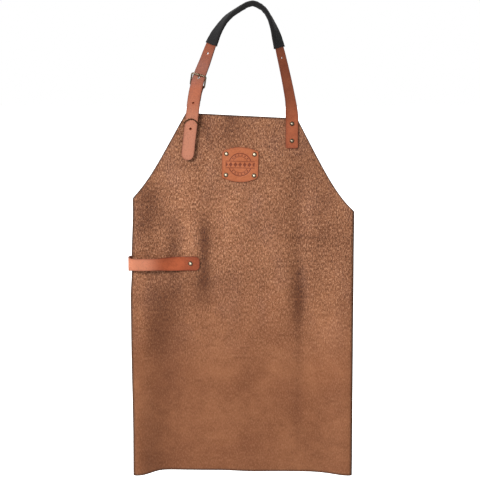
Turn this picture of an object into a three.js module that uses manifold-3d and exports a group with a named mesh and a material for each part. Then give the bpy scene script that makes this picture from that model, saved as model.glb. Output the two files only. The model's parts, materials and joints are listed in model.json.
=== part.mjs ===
// A leather bib apron, hanging by its neck loop.
//
// One leather panel makes the bib and the skirt. Its side margins curl round to the back.
// A neck strap is riveted to the right corner of the bib. It runs through a soft neck sleeve,
// over the hanging point, and down to a buckle on the left, where its free end passes a wire
// keeper. A badge sits on the bib, a towel loop wraps the left edge, and two waist straps hang
// behind the side margins, one with a buckle and one with holes.
//
// Millimetres, +Z up, the front of the apron faces -Y, +X is to the right seen from the front.
// The origin is the underside of the neck sleeve at the top of the loop, where a hook bears.

import * as THREE from "three";
import { mergeVertices } from "three/addons/utils/BufferGeometryUtils.js";
import Module from "manifold-3d";

// ---- driving dimensions ----

const GAP = 0.4; // clearance between pieces that lie on each other
const STRAP_GAP = 0.8; // clearance between the two straps at the neck buckle
const FIT = 0.3; // clearance round a rivet post

const PANEL = {
  thickness: 2,
  centreX: -12,
  foldHalf: 255, // from the centre to where a side margin starts to curl back
  curlRadius: 8,
  margin: 26, // the flat strip behind the curl
  topLeft: [-145, -245], // corners of the bib
  topRight: [115, -258],
  sideTopLeft: -480, // where the armhole meets the cut side edge
  sideTopRight: -500,
  hem: -1108,
  drapeDepth: 658, // how far below the armholes its sides have come all the way forward
  hemDrop: 7, // how much lower the hem's corners hang
  hemSag: 4, // and its right half
  cornerInset: 4, // how far the left fold is drawn in at the foot of the armhole
  sideSwell: 3, // how far it swells out below the towel loop
};

const STRAP = { width: 30, thickness: 3, holeRadius: 3, startRadius: 5, tipRadius: 15 };
const PLY = 2.5; // leather of the short straps that hold the buckles
const FOLD_RADIUS = 2.3; // inside of the fold round a buckle's heel bar

const BUCKLE = { wire: 1.75, window: 31, reach: 29.5, corner: 2.5 }; // reach: heel to end bar
const PRONG = { radius: 1.2, eyeThickness: 3, eyeInner: 2.2, eyeOuter: 3.6 };
const PRONG_SLOT = 4.6;

const SLEEVE = { width: 40, endWidth: 36, thickness: 8, middleThickness: 14, wall: 1.3 };

const RIVET = { head: 5.5, dome: 2.2, post: 1.6 };

// The neck strap, from its riveted end on the right, over the top, to its tip on the left: x, y and
// z, and how far its face has turned outwards from facing the front, in degrees. Its centreline is
// half its thickness in front of these points, so its back stays clear of the panel.
const LOOP = [
  [103, -1.4, -328, 0],
  [103, -1.4, -296, 0],
  [103, -1.4, -264, 0],
  [102.6, -3.5, -251, 8],
  [101.2, -3.5, -232, 27],
  [98.8, -2.5, -214, 37],
  [89.5, -1.5, -166, 43],
  [76, -0.9, -107, 49],
  [67, -0.3, -71, 58],
  [59.5, 0.1, -47, 70],
  [48, 0.7, -22, 86],
  [33, 1.3, -3, 90],
  [8, 1.5, 7, 90],
  [-25, 0.7, -9, 86],
  [-49, 0.1, -27, 76],
  [-70, -0.7, -55, 60],
  [-84, -1.5, -84, 42],
  [-100.5, -3.9, -128, 28],
  [-113, -5.5, -160, 17],
  [-120.5, -6.5, -186, 13],
  [-125.5, -7.1, -212, 9],
  [-130, -7.8, -250, 3],
  [-132.5, -8.2, -270, 0],
  [-134.5, -8.1, -286, 0],
  [-142.5, -7.3, -355, 0],
];
const HEEL_FROM_TIP = 174; // the buckle's heel bar, measured back from the strap's tip
const HOLE_FROM_HEEL = 20; // the hole that the prong is in
const HOLE_PITCH = 60;
const RIGHT_HOLE = 213; // from the riveted end
const SLEEVE_START = 237; // from the riveted end
const SLEEVE_LENGTH = 266;

const BUCKLE_STRAP = { length: 152, returnPly: 36 };
const KEEPER = { fromHeel: 88, wire: 1.4, rise: 11 };

const BADGE = { x: -18, z: -366, width: 86, side: 66, arch: 8, corner: 6, thickness: 2.5 };
const BADGE_TURN = -1.2; // degrees
const BADGE_RIVETS = [33, 24.8]; // half distances, across and up

const TOWEL = {
  z: -601,
  height: 34,
  thickness: 3,
  end: -114,
  rivet: -136,
  bulge: 19, // how far the loop's middle stands off the panel
  lean: 24, // degrees that its top tips forward where it stands off
  overhang: 6, // how far it passes the panel's folded edge
};

const WAIST = {
  z: -637,
  thickness: 2.5,
  bucklePart: 165,
  holePart: 425,
  holePitch: 30,
  holes: 7,
  patch: 34,
  patchThickness: 2.5,
};
const WAIST_KEEPER = { fromHeel: 44, height: 10, wall: 1.6, room: 4.4 };

const BIB_RIVETS_RIGHT = [-270, -310]; // heights of the rivets in the strap ends on the bib
const BIB_RIVETS_LEFT = [-298, -325];

// ---- materials ----

const leather = (colour, roughness) =>
  new THREE.MeshStandardMaterial({ color: colour, roughness, metalness: 0 });
const MATERIALS = {
  panel: leather(0x8f5f42, 0.6),
  strap: leather(0xb0603c, 0.45),
  badge: leather(0xb86f4e, 0.5),
  sleeve: new THREE.MeshStandardMaterial({ color: 0x232222, roughness: 0.85, metalness: 0 }),
  brass: new THREE.MeshStandardMaterial({ color: 0x8a6a43, roughness: 0.35, metalness: 1 }),
};

// ---- solids ----

const wasm = await Module();
wasm.setup();

function solidOf(geometry) {
  const loose = geometry.index ? geometry.toNonIndexed() : geometry;
  const bare = new THREE.BufferGeometry();
  bare.setAttribute("position", loose.getAttribute("position"));
  const merged = mergeVertices(bare, 1e-3);
  return new wasm.Manifold(
    new wasm.Mesh({
      numProp: 3,
      vertProperties: merged.attributes.position.array,
      triVerts: new Uint32Array(merged.index.array),
    }),
  );
}

function geometryOf(solid) {
  const mesh = solid.getMesh();
  const geometry = new THREE.BufferGeometry();
  geometry.setAttribute("position", new THREE.BufferAttribute(mesh.vertProperties, 3));
  geometry.setIndex(new THREE.BufferAttribute(mesh.triVerts, 1));
  geometry.computeVertexNormals();
  return geometry;
}

const cut = (geometry, tools) =>
  geometryOf(tools.reduce((rest, tool) => rest.subtract(solidOf(tool)), solidOf(geometry)));
const join = (a, b) => geometryOf(solidOf(a).add(solidOf(b)));

// Moves each vertex of a geometry to where map(x, y, z) says.
function bend(geometry, map) {
  const position = geometry.getAttribute("position");
  for (let i = 0; i < position.count; i++) {
    const to = map(position.getX(i), position.getY(i), position.getZ(i));
    position.setXYZ(i, to.x, to.y, to.z);
  }
  geometry.computeVertexNormals();
  return geometry;
}

const group = new THREE.Group();

function add(name, geometry, material, parent = group) {
  const mesh = new THREE.Mesh(geometry, material);
  mesh.name = name;
  parent.add(mesh);
  return mesh;
}

// A tool that drills along Y at x, z.
const drillY = (x, z, radius, centreY = 0, depth = 60) =>
  new THREE.CylinderGeometry(radius, radius, depth, 12).translate(x, centreY, z);

// Rises smoothly from 0 to 1 as value goes from one limit to the other, in either direction.
const smooth = (from, to, value) =>
  THREE.MathUtils.smoothstep((value - from) / (to - from), 0, 1);
const bump = (distance, width) => Math.exp(-((distance / width) ** 2));

// ---- the panel ----

const FOLD_LEFT = PANEL.centreX - PANEL.foldHalf;
const FOLD_RIGHT = PANEL.centreX + PANEL.foldHalf;
const FLAT_HALF = PANEL.foldHalf + Math.PI * PANEL.curlRadius + PANEL.margin;

// How far back the panel's middle surface lies, at a point in front view.
function drape(x, z) {
  const down = THREE.MathUtils.clamp((-450 - z) / PANEL.drapeDepth, 0, 1);
  const forward = 3 * smooth(-330, -450, z) + 21 * down * down;
  const sides = bump(x - FOLD_LEFT, 40) + bump(x - FOLD_RIGHT, 46);
  const rightValley =
    6 * bump(x - 119, 19) * smooth(-350, -440, z) * (1 - 0.8 * smooth(-620, -900, z));
  const leftValley = 4 * bump(x + 205, 34) * smooth(-640, -800, z);
  const hemWave = 2.5 * Math.sin(x / 42) * down * down * bump(x, 150);
  return rightValley + leftValley + hemWave - forward * sides;
}

// How far the panel is drawn to the right at `a` across from its centre: only near its left fold.
function sway(a, z) {
  const inset = PANEL.cornerInset * smooth(-590, -470, z);
  const swell = PANEL.sideSwell * (smooth(-620, -680, z) - smooth(-760, -1020, z));
  return (inset - swell) * smooth(-110, -250, a);
}

// A point of the flat panel, `a` across from its centre, as it hangs. A side margin curls back
// half a turn and then lies parallel to the panel.
function hang(a, z) {
  const side = Math.sign(a);
  const past = Math.abs(a) - PANEL.foldHalf;
  const foldX = PANEL.centreX + (past > 0 ? side * PANEL.foldHalf : a);
  const turn = THREE.MathUtils.clamp(past / PANEL.curlRadius, 0, Math.PI);
  const straight = Math.max(0, past - Math.PI * PANEL.curlRadius);
  return new THREE.Vector3(
    foldX + side * (PANEL.curlRadius * Math.sin(turn) - straight) + sway(a, z),
    drape(foldX, z) + PANEL.curlRadius * (1 - Math.cos(turn)),
    z,
  );
}

const flatCorner = (side, z) => new THREE.Vector2(side * FLAT_HALF, z);
const flatTop = ([x, z]) => new THREE.Vector2(x - PANEL.centreX, z);
const ARMHOLES = [
  new THREE.CubicBezierCurve(
    flatTop(PANEL.topLeft),
    new THREE.Vector2(-203, -362),
    new THREE.Vector2(-234, -432),
    flatCorner(-1, PANEL.sideTopLeft),
  ),
  new THREE.CubicBezierCurve(
    flatTop(PANEL.topRight),
    new THREE.Vector2(200, -396),
    new THREE.Vector2(236, -478),
    flatCorner(1, PANEL.sideTopRight),
  ),
];
const ARMHOLE_STEPS = 6; // rows down to where the side margin starts to curl
const CORNER_STEPS = 4; // rows from there to the foot of the armhole
const ARMHOLE_ROWS = ARMHOLE_STEPS + CORNER_STEPS;
const SKIRT_ROWS = 10;

// The place along an armhole, from 0 to 1, where it is a distance across from the centre.
function armholeShare(curve, across) {
  let [near, far] = [0, 1];
  for (let i = 0; i < 30; i++) {
    const middle = (near + far) / 2;
    if (Math.abs(curve.getPoint(middle).x) < across) near = middle;
    else far = middle;
  }
  return near;
}

// The two ends of a row of the flat panel, for row 0 at the top of the bib to the last at the hem.
function rowEnds(row) {
  if (row > ARMHOLE_ROWS) {
    const down = (row - ARMHOLE_ROWS) / SKIRT_ROWS;
    return [
      flatCorner(-1, THREE.MathUtils.lerp(PANEL.sideTopLeft, PANEL.hem, down)),
      flatCorner(1, THREE.MathUtils.lerp(PANEL.sideTopRight, PANEL.hem, down)),
    ];
  }
  return ARMHOLES.map((curve) => {
    const foldShare = armholeShare(curve, PANEL.foldHalf);
    if (row <= ARMHOLE_STEPS) return curve.getPoint((foldShare * row) / ARMHOLE_STEPS);
    const past = (row - ARMHOLE_STEPS) / CORNER_STEPS;
    const across = THREE.MathUtils.lerp(PANEL.foldHalf, FLAT_HALF, past);
    return curve.getPoint(armholeShare(curve, across));
  });
}

// Columns of the flat panel: close together where it curls, and one strip for the margin.
const CURL_STEPS = 5;
const CENTRE_STEPS = 7;
const INNER_COLUMNS = CENTRE_STEPS + 1;
const OUTER_COLUMNS = CURL_STEPS + 1;
const HALF_COLUMNS = INNER_COLUMNS + OUTER_COLUMNS;
const CURL_START = PANEL.foldHalf / FLAT_HALF;
const CURL_WIDTH = Math.PI * PANEL.curlRadius;

// How far across from the centre a column is, in a row that reaches `end` from the centre.
function columnAcross(column, end) {
  const inner = end > PANEL.foldHalf + 1 ? PANEL.foldHalf : CURL_START * end;
  if (column <= CENTRE_STEPS) return 0.9 * inner * (column / CENTRE_STEPS);
  if (column === INNER_COLUMNS) return inner;
  const outer = column - INNER_COLUMNS;
  const curl = CURL_WIDTH / (CURL_WIDTH + PANEL.margin);
  return inner + (end - inner) * (outer > CURL_STEPS ? 1 : (curl * outer) / CURL_STEPS);
}

// The flat position of a grid point: a column to the left (-) or right (+), and a row.
function flatPoint(column, row) {
  const [left, right] = rowEnds(row);
  const end = column < 0 ? -left.x : right.x;
  const across = Math.sign(column) * columnAcross(Math.abs(column), end);
  const height = THREE.MathUtils.mapLinear(across, left.x, right.x, left.y, right.y);
  const last = ARMHOLE_ROWS + SKIRT_ROWS;
  const toCorner = smooth(-190, -247, across) + smooth(160, 252, across);
  const onRight = smooth(-60, 40, across) * smooth(250, 170, across);
  const drop = PANEL.hemDrop * toCorner + PANEL.hemSag * onRight;
  return new THREE.Vector2(across, height - drop * smooth(last - 5, last, row));
}

// The panel's middle surface at a flat point, and its normal, which faces the back.
function surface(flat) {
  const step = 0.5;
  const at = hang(flat.x, flat.y);
  const across = hang(flat.x + step, flat.y).sub(hang(flat.x - step, flat.y));
  const up = hang(flat.x, flat.y + step).sub(hang(flat.x, flat.y - step));
  return { at, normal: up.cross(across).normalize() };
}

const panelFrontY = (x, z) => drape(x, z) - PANEL.thickness / 2;
const marginBackY = (foldX, z) =>
  drape(foldX, z) + 2 * PANEL.curlRadius + PANEL.thickness / 2;

function panelGeometry() {
  const rows = ARMHOLE_ROWS + SKIRT_ROWS;
  const columns = 2 * HALF_COLUMNS;
  const sheet = new THREE.BoxGeometry(columns, 1, rows, columns, 1, rows);
  return bend(sheet, (x, y, z) => {
    const { at, normal } = surface(flatPoint(Math.round(x), Math.round(rows / 2 - z)));
    return at.addScaledVector(normal, y * PANEL.thickness);
  });
}

// ---- the neck loop's coordinates ----

const loopCurve = new THREE.CatmullRomCurve3(
  LOOP.map(([x, y, z]) => new THREE.Vector3(x, y - STRAP.thickness / 2, z)),
  false,
  "centripetal",
);
loopCurve.arcLengthDivisions = 800;
const LOOP_LENGTH = loopCurve.getLength();
const HEEL_AT = LOOP_LENGTH - HEEL_FROM_TIP;

function twistAt(t) {
  const place = t * (LOOP.length - 1);
  const before = Math.min(Math.floor(place), LOOP.length - 2);
  const degrees = THREE.MathUtils.lerp(LOOP[before][3], LOOP[before + 1][3], place - before);
  return THREE.MathUtils.degToRad(degrees);
}

// The strap's own axes at a distance along it: across, outwards from its face, and along.
function loopFrame(distance) {
  const share = THREE.MathUtils.clamp(distance / LOOP_LENGTH, 0, 1);
  const at = loopCurve.getPointAt(share);
  const along = loopCurve.getTangentAt(share);
  const twist = twistAt(loopCurve.getUtoTmapping(share));
  const back = new THREE.Vector3(0, 1, 0);
  const outside = back.clone().cross(along).normalize();
  const face = outside.multiplyScalar(Math.sin(twist)).addScaledVector(back, -Math.cos(twist));
  face.addScaledVector(along, -face.dot(along)).normalize();
  const across = face.clone().cross(along);
  return { at, across, face, along };
}

// A point given across, outwards from and along the strap, in the part's frame.
function onLoop(across, outwards, distance) {
  const frame = loopFrame(distance);
  return frame.at.addScaledVector(frame.across, across).addScaledVector(frame.face, outwards);
}

// The distance along the loop at which its left side is at a height.
function distanceAtHeight(z) {
  let [near, far] = [LOOP_LENGTH / 2, LOOP_LENGTH];
  for (let i = 0; i < 30; i++) {
    const middle = (near + far) / 2;
    if (loopFrame(middle).at.z > z) near = middle;
    else far = middle;
  }
  return near;
}

// Places a rigid piece with its x across, y outwards and z along the strap.
function placeOnLoop(object, distance, outwards) {
  const frame = loopFrame(distance);
  object.position.copy(frame.at).addScaledVector(frame.face, outwards);
  object.setRotationFromMatrix(
    new THREE.Matrix4().makeBasis(frame.across, frame.face, frame.along),
  );
  return object;
}

function drillOnLoop(distance, radius, depth = 12) {
  const tool = new THREE.CylinderGeometry(radius, radius, depth, 12);
  const holder = placeOnLoop(new THREE.Object3D(), distance, 0);
  holder.updateMatrixWorld(true);
  return tool.applyMatrix4(holder.matrixWorld);
}

// ---- straps ----

function rad(degrees) {
  return THREE.MathUtils.degToRad(degrees);
}

// Distances along a strap where it has edges across it: close ones that follow its rounded
// corners and its round tip, and even steps between them.
function stations(length, step) {
  const [corner, tip] = [STRAP.startRadius, STRAP.tipRadius];
  const straight = length - corner - tip;
  const steps = Math.ceil(straight / step);
  return [
    ...[90, 45].map((degrees) => corner * (1 - Math.sin(rad(degrees)))),
    ...Array.from({ length: steps + 1 }, (_, i) => corner + (straight * i) / steps),
    ...[30, 55, 72, 82].map((degrees) => length - tip + tip * Math.sin(rad(degrees))),
  ];
}

// A flat strap with two rounded corners at its start and a round tip, x across, y outwards
// and z along.
function flatStrap(width, thickness, length, step) {
  const stops = stations(length, step);
  const last = stops.length - 1;
  const rounding = (past, radius) => radius * (1 - Math.sqrt(1 - Math.max(0, past / radius) ** 2));
  const bar = new THREE.BoxGeometry(width, thickness, last, 2, 1, last).translate(0, 0, last / 2);
  return bend(bar, (x, y, z) => {
    const along = stops[Math.round(z)];
    const trimmed =
      rounding(STRAP.startRadius - along, STRAP.startRadius) +
      rounding(along - (length - STRAP.tipRadius), STRAP.tipRadius);
    return new THREE.Vector3(x * (1 - (2 * trimmed) / width), y, along);
  });
}

// The outline of a ribbon of even thickness along a line of 2D points.
function ribbonShape(points, thickness) {
  const sides = [1, -1].map((side) =>
    points.map((point, i) => {
      const before = points[Math.max(i - 1, 0)];
      const after = points[Math.min(i + 1, points.length - 1)];
      const normal = new THREE.Vector2(-(after.y - before.y), after.x - before.x).normalize();
      return point.clone().addScaledVector(normal, (side * thickness) / 2);
    }),
  );
  return new THREE.Shape([...sides[1], ...sides[0].reverse()]);
}

// The line of a strap that comes to a heel bar at the origin, folds round it and returns behind
// itself. x runs towards the buckle's end bar and y outwards. `sink` says how much further
// inwards the strap lies at a distance from the bar.
function foldLine(length, returnPly, sink = () => 0) {
  const radius = FOLD_RADIUS + PLY / 2;
  const step = 8;
  const closed = radius - PLY - GAP;
  const line = [];
  for (let x = -length; x < -step / 2; x += step) {
    line.push(new THREE.Vector2(x, radius - sink(-x)));
  }
  for (let degrees = 90; degrees >= -90; degrees -= 22.5) {
    const angle = rad(degrees);
    line.push(new THREE.Vector2(radius * Math.cos(angle), radius * Math.sin(angle)));
  }
  for (let back = 6; back <= returnPly; back += 6) {
    line.push(new THREE.Vector2(-back, THREE.MathUtils.lerp(-radius, closed, smooth(0, 15, back))));
  }
  return line;
}

// A strap folded round a heel bar at the origin: x across, y outwards, and z away from the
// end bar, with the slot that the prong works in.
function foldedStrap(length, returnPly, sink) {
  const outline = ribbonShape(foldLine(length, returnPly, sink), PLY);
  const band = new THREE.ExtrudeGeometry(outline, { depth: STRAP.width, bevelEnabled: false });
  bend(band, (x, y, z) => new THREE.Vector3(z - STRAP.width / 2, y, -x));
  const slot = new THREE.BoxGeometry(PRONG_SLOT, 14, 15).translate(0, 0, 1.5);
  return cut(band, [slot]);
}

// ---- hardware ----

// A closed loop of round wire in the XY plane with rounded corners. `lift(x, y)` moves its
// centreline out of that plane.
function wireLoop(halfX, halfY, wire, corner, lift = () => 0) {
  const line = [];
  for (const [sx, sy] of [[1, 1], [-1, 1], [-1, -1], [1, -1]]) {
    const turn = [0, 45, 90].map((degrees) => [
      sx * (halfX - corner * (1 - Math.cos(rad(degrees)))),
      sy * (halfY - corner * (1 - Math.sin(rad(degrees)))),
    ]);
    const middle = [(sx - sy) / 2 * halfX, (sx + sy) / 2 * halfY];
    line.push(...(sx * sy > 0 ? turn : turn.reverse()), middle);
  }
  const points = line.map(([x, y]) => new THREE.Vector3(x, y, lift(x, y)));
  const path = new THREE.CatmullRomCurve3(points, true, "centripetal");
  return new THREE.TubeGeometry(path, 40, wire, 6, true);
}

// A buckle frame with its heel bar at the origin: x across, y outwards, z away from the end
// bar. `tilt` swings the end bar outwards, in radians.
function buckleFrame(tilt) {
  const halfWidth = BUCKLE.window / 2 + BUCKLE.wire;
  return wireLoop(halfWidth, BUCKLE.reach / 2, BUCKLE.wire, BUCKLE.corner)
    .translate(0, BUCKLE.reach / 2, 0)
    .rotateX(-Math.PI / 2 + tilt);
}

// A prong on the heel bar. Its line is given as [towards the end bar, outwards].
function prong(line) {
  const eye = new THREE.Shape().absarc(0, 0, PRONG.eyeOuter, 0, 2 * Math.PI);
  eye.holes.push(new THREE.Path().absarc(0, 0, PRONG.eyeInner, 0, 2 * Math.PI, true));
  const ring = new THREE.ExtrudeGeometry(eye, {
    depth: PRONG.eyeThickness,
    bevelEnabled: false,
    curveSegments: 8,
  });
  ring.translate(0, 0, -PRONG.eyeThickness / 2).rotateY(-Math.PI / 2);
  const path = new THREE.CatmullRomCurve3(line.map(([s, n]) => new THREE.Vector3(0, n, -s)));
  const round = new THREE.Shape().absarc(0, 0, PRONG.radius, 0, 2 * Math.PI);
  const shank = new THREE.ExtrudeGeometry(round, { steps: 12, curveSegments: 3, extrudePath: path });
  return join(ring, shank);
}

// A rivet along Y between two surfaces: its cap and post come from the front, and its back cap
// is pressed on from behind.
function addRivet(name, x, z, frontY, backY, dome = RIVET.dome, parent = group) {
  const seat = 0.25;
  const length = backY - frontY + 2 * seat + 0.8;
  const [r, post] = [RIVET.head, RIVET.post];
  const profile = (points) => points.map(([px, py]) => new THREE.Vector2(px, py));
  const cap = new THREE.LatheGeometry(
    profile([[0, -dome], [0.5 * r, -0.86 * dome], [0.85 * r, -0.45 * dome], [r, 0], [post, 0],
      [post, length], [0, length]]),
    10,
  );
  const back = new THREE.LatheGeometry(
    profile([[0, 1.1], [post + FIT, 1.1], [post + FIT, 0], [r, 0], [0.85 * r, 0.45 * dome],
      [0.5 * r, 0.86 * dome], [0, Math.max(dome, 1.7)]]),
    10,
  );
  add(name + "_cap", cap, MATERIALS.brass, parent).position.set(x, frontY - seat, z);
  add(name + "_back", back, MATERIALS.brass, parent).position.set(x, backY + seat, z);
}

// ---- panel, with its rivet holes ----

const POST_HOLE = RIVET.post + FIT;
const badgePoint = (across, up) => {
  const turned = new THREE.Vector2(across, up).rotateAround(new THREE.Vector2(), rad(BADGE_TURN));
  return [BADGE.x + turned.x, BADGE.z + turned.y];
};
const BADGE_RIVET_POINTS = [[-1, 1], [1, 1], [-1, -1], [1, -1]].map(([sx, sz]) =>
  badgePoint(sx * BADGE_RIVETS[0], sz * BADGE_RIVETS[1]),
);
const loopX = (z) => {
  const below = LOOP.findLastIndex((point) => point[2] > z);
  const [a, b] = [LOOP[below], LOOP[below + 1]];
  return THREE.MathUtils.mapLinear(z, a[2], b[2], a[0], b[0]);
};
const BIB_RIVET_POINTS = [
  ...BIB_RIVETS_RIGHT.map((z) => [LOOP[0][0], z]),
  ...BIB_RIVETS_LEFT.map((z) => [loopX(z), z]),
];
const MARGIN_X = [
  FOLD_LEFT + PANEL.margin / 2, // middle of each side margin
  FOLD_RIGHT - PANEL.margin / 2,
];
const MARGIN_HOLES = [
  [MARGIN_X[0], TOWEL.z],
  [MARGIN_X[0], WAIST.z],
  [MARGIN_X[1], WAIST.z],
];

const frontHoles = [...BADGE_RIVET_POINTS, ...BIB_RIVET_POINTS, [TOWEL.rivet, TOWEL.z]].map(
  ([x, z]) => drillY(x, z, POST_HOLE, 0, 30),
);
const marginHoles = MARGIN_HOLES.map(([x, z]) =>
  drillY(x, z, POST_HOLE, marginBackY(FOLD_LEFT, z), 12),
);
add("apron_panel", cut(panelGeometry(), [...frontHoles, ...marginHoles]), MATERIALS.panel);

// ---- neck strap ----

const prongHole = HEEL_AT - HOLE_FROM_HEEL;
const strapHoles = [-1, 0, 1, 2].map((count) => prongHole + count * HOLE_PITCH);
const neckStrap = bend(
  flatStrap(STRAP.width, STRAP.thickness, LOOP_LENGTH, 11),
  (x, y, z) => onLoop(x, y, z),
);
add(
  "neck_strap",
  cut(neckStrap, [
    ...[RIGHT_HOLE, ...strapHoles].map((distance) => drillOnLoop(distance, STRAP.holeRadius)),
    ...BIB_RIVETS_RIGHT.map((z) => drillY(LOOP[0][0], z, POST_HOLE)),
  ]),
  MATERIALS.strap,
);

// ---- neck sleeve: a soft tube round the strap, fuller at the top of the loop ----

function ringShape(width, thickness, wall) {
  const oval = (Path, w, t, reverse) => {
    const path = new Path();
    const points = Array.from({ length: 10 }, (_, i) => {
      const angle = ((i + 0.5) / 10) * 2 * Math.PI * (reverse ? -1 : 1);
      const square = (value) => Math.sign(value) * Math.abs(value) ** 0.5;
      return new THREE.Vector2((w / 2) * square(Math.cos(angle)), (t / 2) * square(Math.sin(angle)));
    });
    return path.setFromPoints(points);
  };
  const shape = oval(THREE.Shape, width, thickness, false);
  shape.holes.push(oval(THREE.Path, width - 2 * wall, thickness - 2 * wall, true));
  return shape;
}
const sleeveTube = new THREE.ExtrudeGeometry(ringShape(SLEEVE.width, SLEEVE.thickness, SLEEVE.wall), {
  depth: SLEEVE_LENGTH,
  steps: 26,
  bevelEnabled: false,
});
bend(sleeveTube, (x, y, z) => {
  const share = z / SLEEVE_LENGTH;
  const wider = THREE.MathUtils.lerp(1, SLEEVE.endWidth / SLEEVE.width, share);
  const middle = Math.sin(Math.PI * share) ** 2;
  const fuller = THREE.MathUtils.lerp(1, SLEEVE.middleThickness / SLEEVE.thickness, middle);
  return onLoop(x * wider, y * fuller, SLEEVE_START + z);
});
add("neck_sleeve", sleeveTube, MATERIALS.sleeve);

// ---- buckle strap, neck buckle and keeper, on the left of the loop ----

// How far the heel bar lies behind the middle of the neck strap.
const HEEL_DEPTH = STRAP.thickness / 2 + STRAP_GAP + PLY + FOLD_RADIUS;
const FLAT_CAP = 1.4; // dome of the rivets under the strap's free end
const sinkAtRivets = (distance) => (FLAT_CAP + GAP) * smooth(93, 104, distance);
const buckleStrap = bend(
  foldedStrap(BUCKLE_STRAP.length, BUCKLE_STRAP.returnPly, sinkAtRivets),
  (x, y, z) => onLoop(x, y - HEEL_DEPTH, HEEL_AT + z),
);
add(
  "buckle_strap",
  cut(buckleStrap, BIB_RIVETS_LEFT.map((z) => drillY(loopX(z), z, POST_HOLE))),
  MATERIALS.strap,
);

// The end bar clears the neck strap, which curves and twists on its way from the heel bar to it.
const heelFrame = loopFrame(HEEL_AT);
const barFrame = loopFrame(HEEL_AT - BUCKLE.reach);
const strapRise = barFrame.at.clone().sub(heelFrame.at).dot(heelFrame.face);
const edgeRise = Math.abs(barFrame.across.dot(heelFrame.face)) * (STRAP.width / 2);
const END_BAR_OUT =
  HEEL_DEPTH + strapRise + edgeRise + STRAP.thickness / 2 + STRAP_GAP + BUCKLE.wire;
const NECK_TILT = Math.asin(END_BAR_OUT / BUCKLE.reach);
const END_BAR_ALONG = BUCKLE.reach * Math.cos(NECK_TILT);
const overBar = END_BAR_OUT + BUCKLE.wire + PRONG.radius + 0.3;

// The strap also curves sideways, so the buckle points at its middle where the frame crosses it.
const crossing = loopFrame(HEEL_AT - BUCKLE.reach / 2).at.sub(heelFrame.at);
const sideways = Math.atan2(crossing.dot(heelFrame.across), BUCKLE.reach / 2);
const neckBuckle = placeOnLoop(new THREE.Group(), HEEL_AT, -HEEL_DEPTH).rotateY(-sideways);
group.add(neckBuckle);
add("neck_buckle_frame", buckleFrame(NECK_TILT), MATERIALS.brass, neckBuckle);
add(
  "neck_buckle_prong",
  prong([
    [PRONG.eyeOuter - 0.8, 0.3],
    [HOLE_FROM_HEEL - 8, 1.6],
    [HOLE_FROM_HEEL - 0.6, HEEL_DEPTH - 3],
    [HOLE_FROM_HEEL + 0.7, HEEL_DEPTH + 1.6],
    [END_BAR_ALONG - 3.5, END_BAR_OUT + 1.3],
    [END_BAR_ALONG, overBar],
    [END_BAR_ALONG + 3.8, overBar + 0.2],
  ]),
  MATERIALS.brass,
  neckBuckle,
);

// The keeper goes round the buckle strap and the neck strap's free end. Its front rises in an arch.
const keeperBack = -(STRAP.thickness / 2 + STRAP_GAP + PLY + GAP + KEEPER.wire);
const keeperFront = STRAP.thickness / 2 + GAP + KEEPER.wire;
const keeperHalfWidth = STRAP.width / 2 + GAP + KEEPER.wire;
const keeperRing = wireLoop(
  keeperHalfWidth,
  (keeperFront - keeperBack) / 2,
  KEEPER.wire,
  1.2,
  (x, y) => -KEEPER.rise * Math.max(0, Math.sign(y)) * (1 - (x / keeperHalfWidth) ** 2),
);
const keeper = add("strap_keeper", keeperRing, MATERIALS.brass);
placeOnLoop(keeper, HEEL_AT + KEEPER.fromHeel, (keeperFront + keeperBack) / 2);

// ---- rivets of the neck strap and the buckle strap ----

const panelBackY = PANEL.thickness / 2;
const buckleStrapFace = FOLD_RADIUS + PLY - HEEL_DEPTH;
BIB_RIVETS_RIGHT.forEach((z, i) => {
  addRivet("neck_strap_rivet_" + (i + 1), LOOP[0][0], z, LOOP[0][1] - STRAP.thickness, panelBackY);
});
BIB_RIVETS_LEFT.forEach((z, i) => {
  const front = onLoop(0, buckleStrapFace - sinkAtRivets(LOOP_LENGTH), distanceAtHeight(z)).y;
  addRivet("buckle_strap_rivet_" + (i + 1), loopX(z), z, front, panelBackY, FLAT_CAP);
});

// ---- badge ----

function badgeGeometry() {
  const { width, side, arch, corner, thickness } = BADGE;
  const [w, h] = [width / 2, side / 2];
  const shape = new THREE.Shape();
  shape.moveTo(-w, -h + corner);
  shape.lineTo(-w, h - corner);
  shape.quadraticCurveTo(-w, h, -w + corner, h + 0.1 * corner);
  shape.quadraticCurveTo(0, h + 2 * arch, w - corner, h + 0.1 * corner);
  shape.quadraticCurveTo(w, h, w, h - corner);
  shape.lineTo(w, -h + corner);
  shape.quadraticCurveTo(w, -h, w - corner, -h - 0.1 * corner);
  shape.quadraticCurveTo(0, -h - 2 * arch, -w + corner, -h - 0.1 * corner);
  shape.quadraticCurveTo(-w, -h, -w, -h + corner);
  return new THREE.ExtrudeGeometry(shape, { depth: thickness, bevelEnabled: false, curveSegments: 8 });
}
const badgeBackY = panelFrontY(BADGE.x, BADGE.z) - GAP;
const badge = badgeGeometry().rotateX(Math.PI / 2).rotateY(rad(-BADGE_TURN));
badge.translate(BADGE.x, badgeBackY, BADGE.z);
add(
  "badge",
  cut(badge, BADGE_RIVET_POINTS.map(([x, z]) => drillY(x, z, POST_HOLE))),
  MATERIALS.badge,
);
BADGE_RIVET_POINTS.forEach(([x, z], i) => {
  addRivet("badge_rivet_" + (i + 1), x, z, badgeBackY - BADGE.thickness, drape(x, z) + panelBackY);
});

// ---- towel loop, round the folded left edge ----

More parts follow.
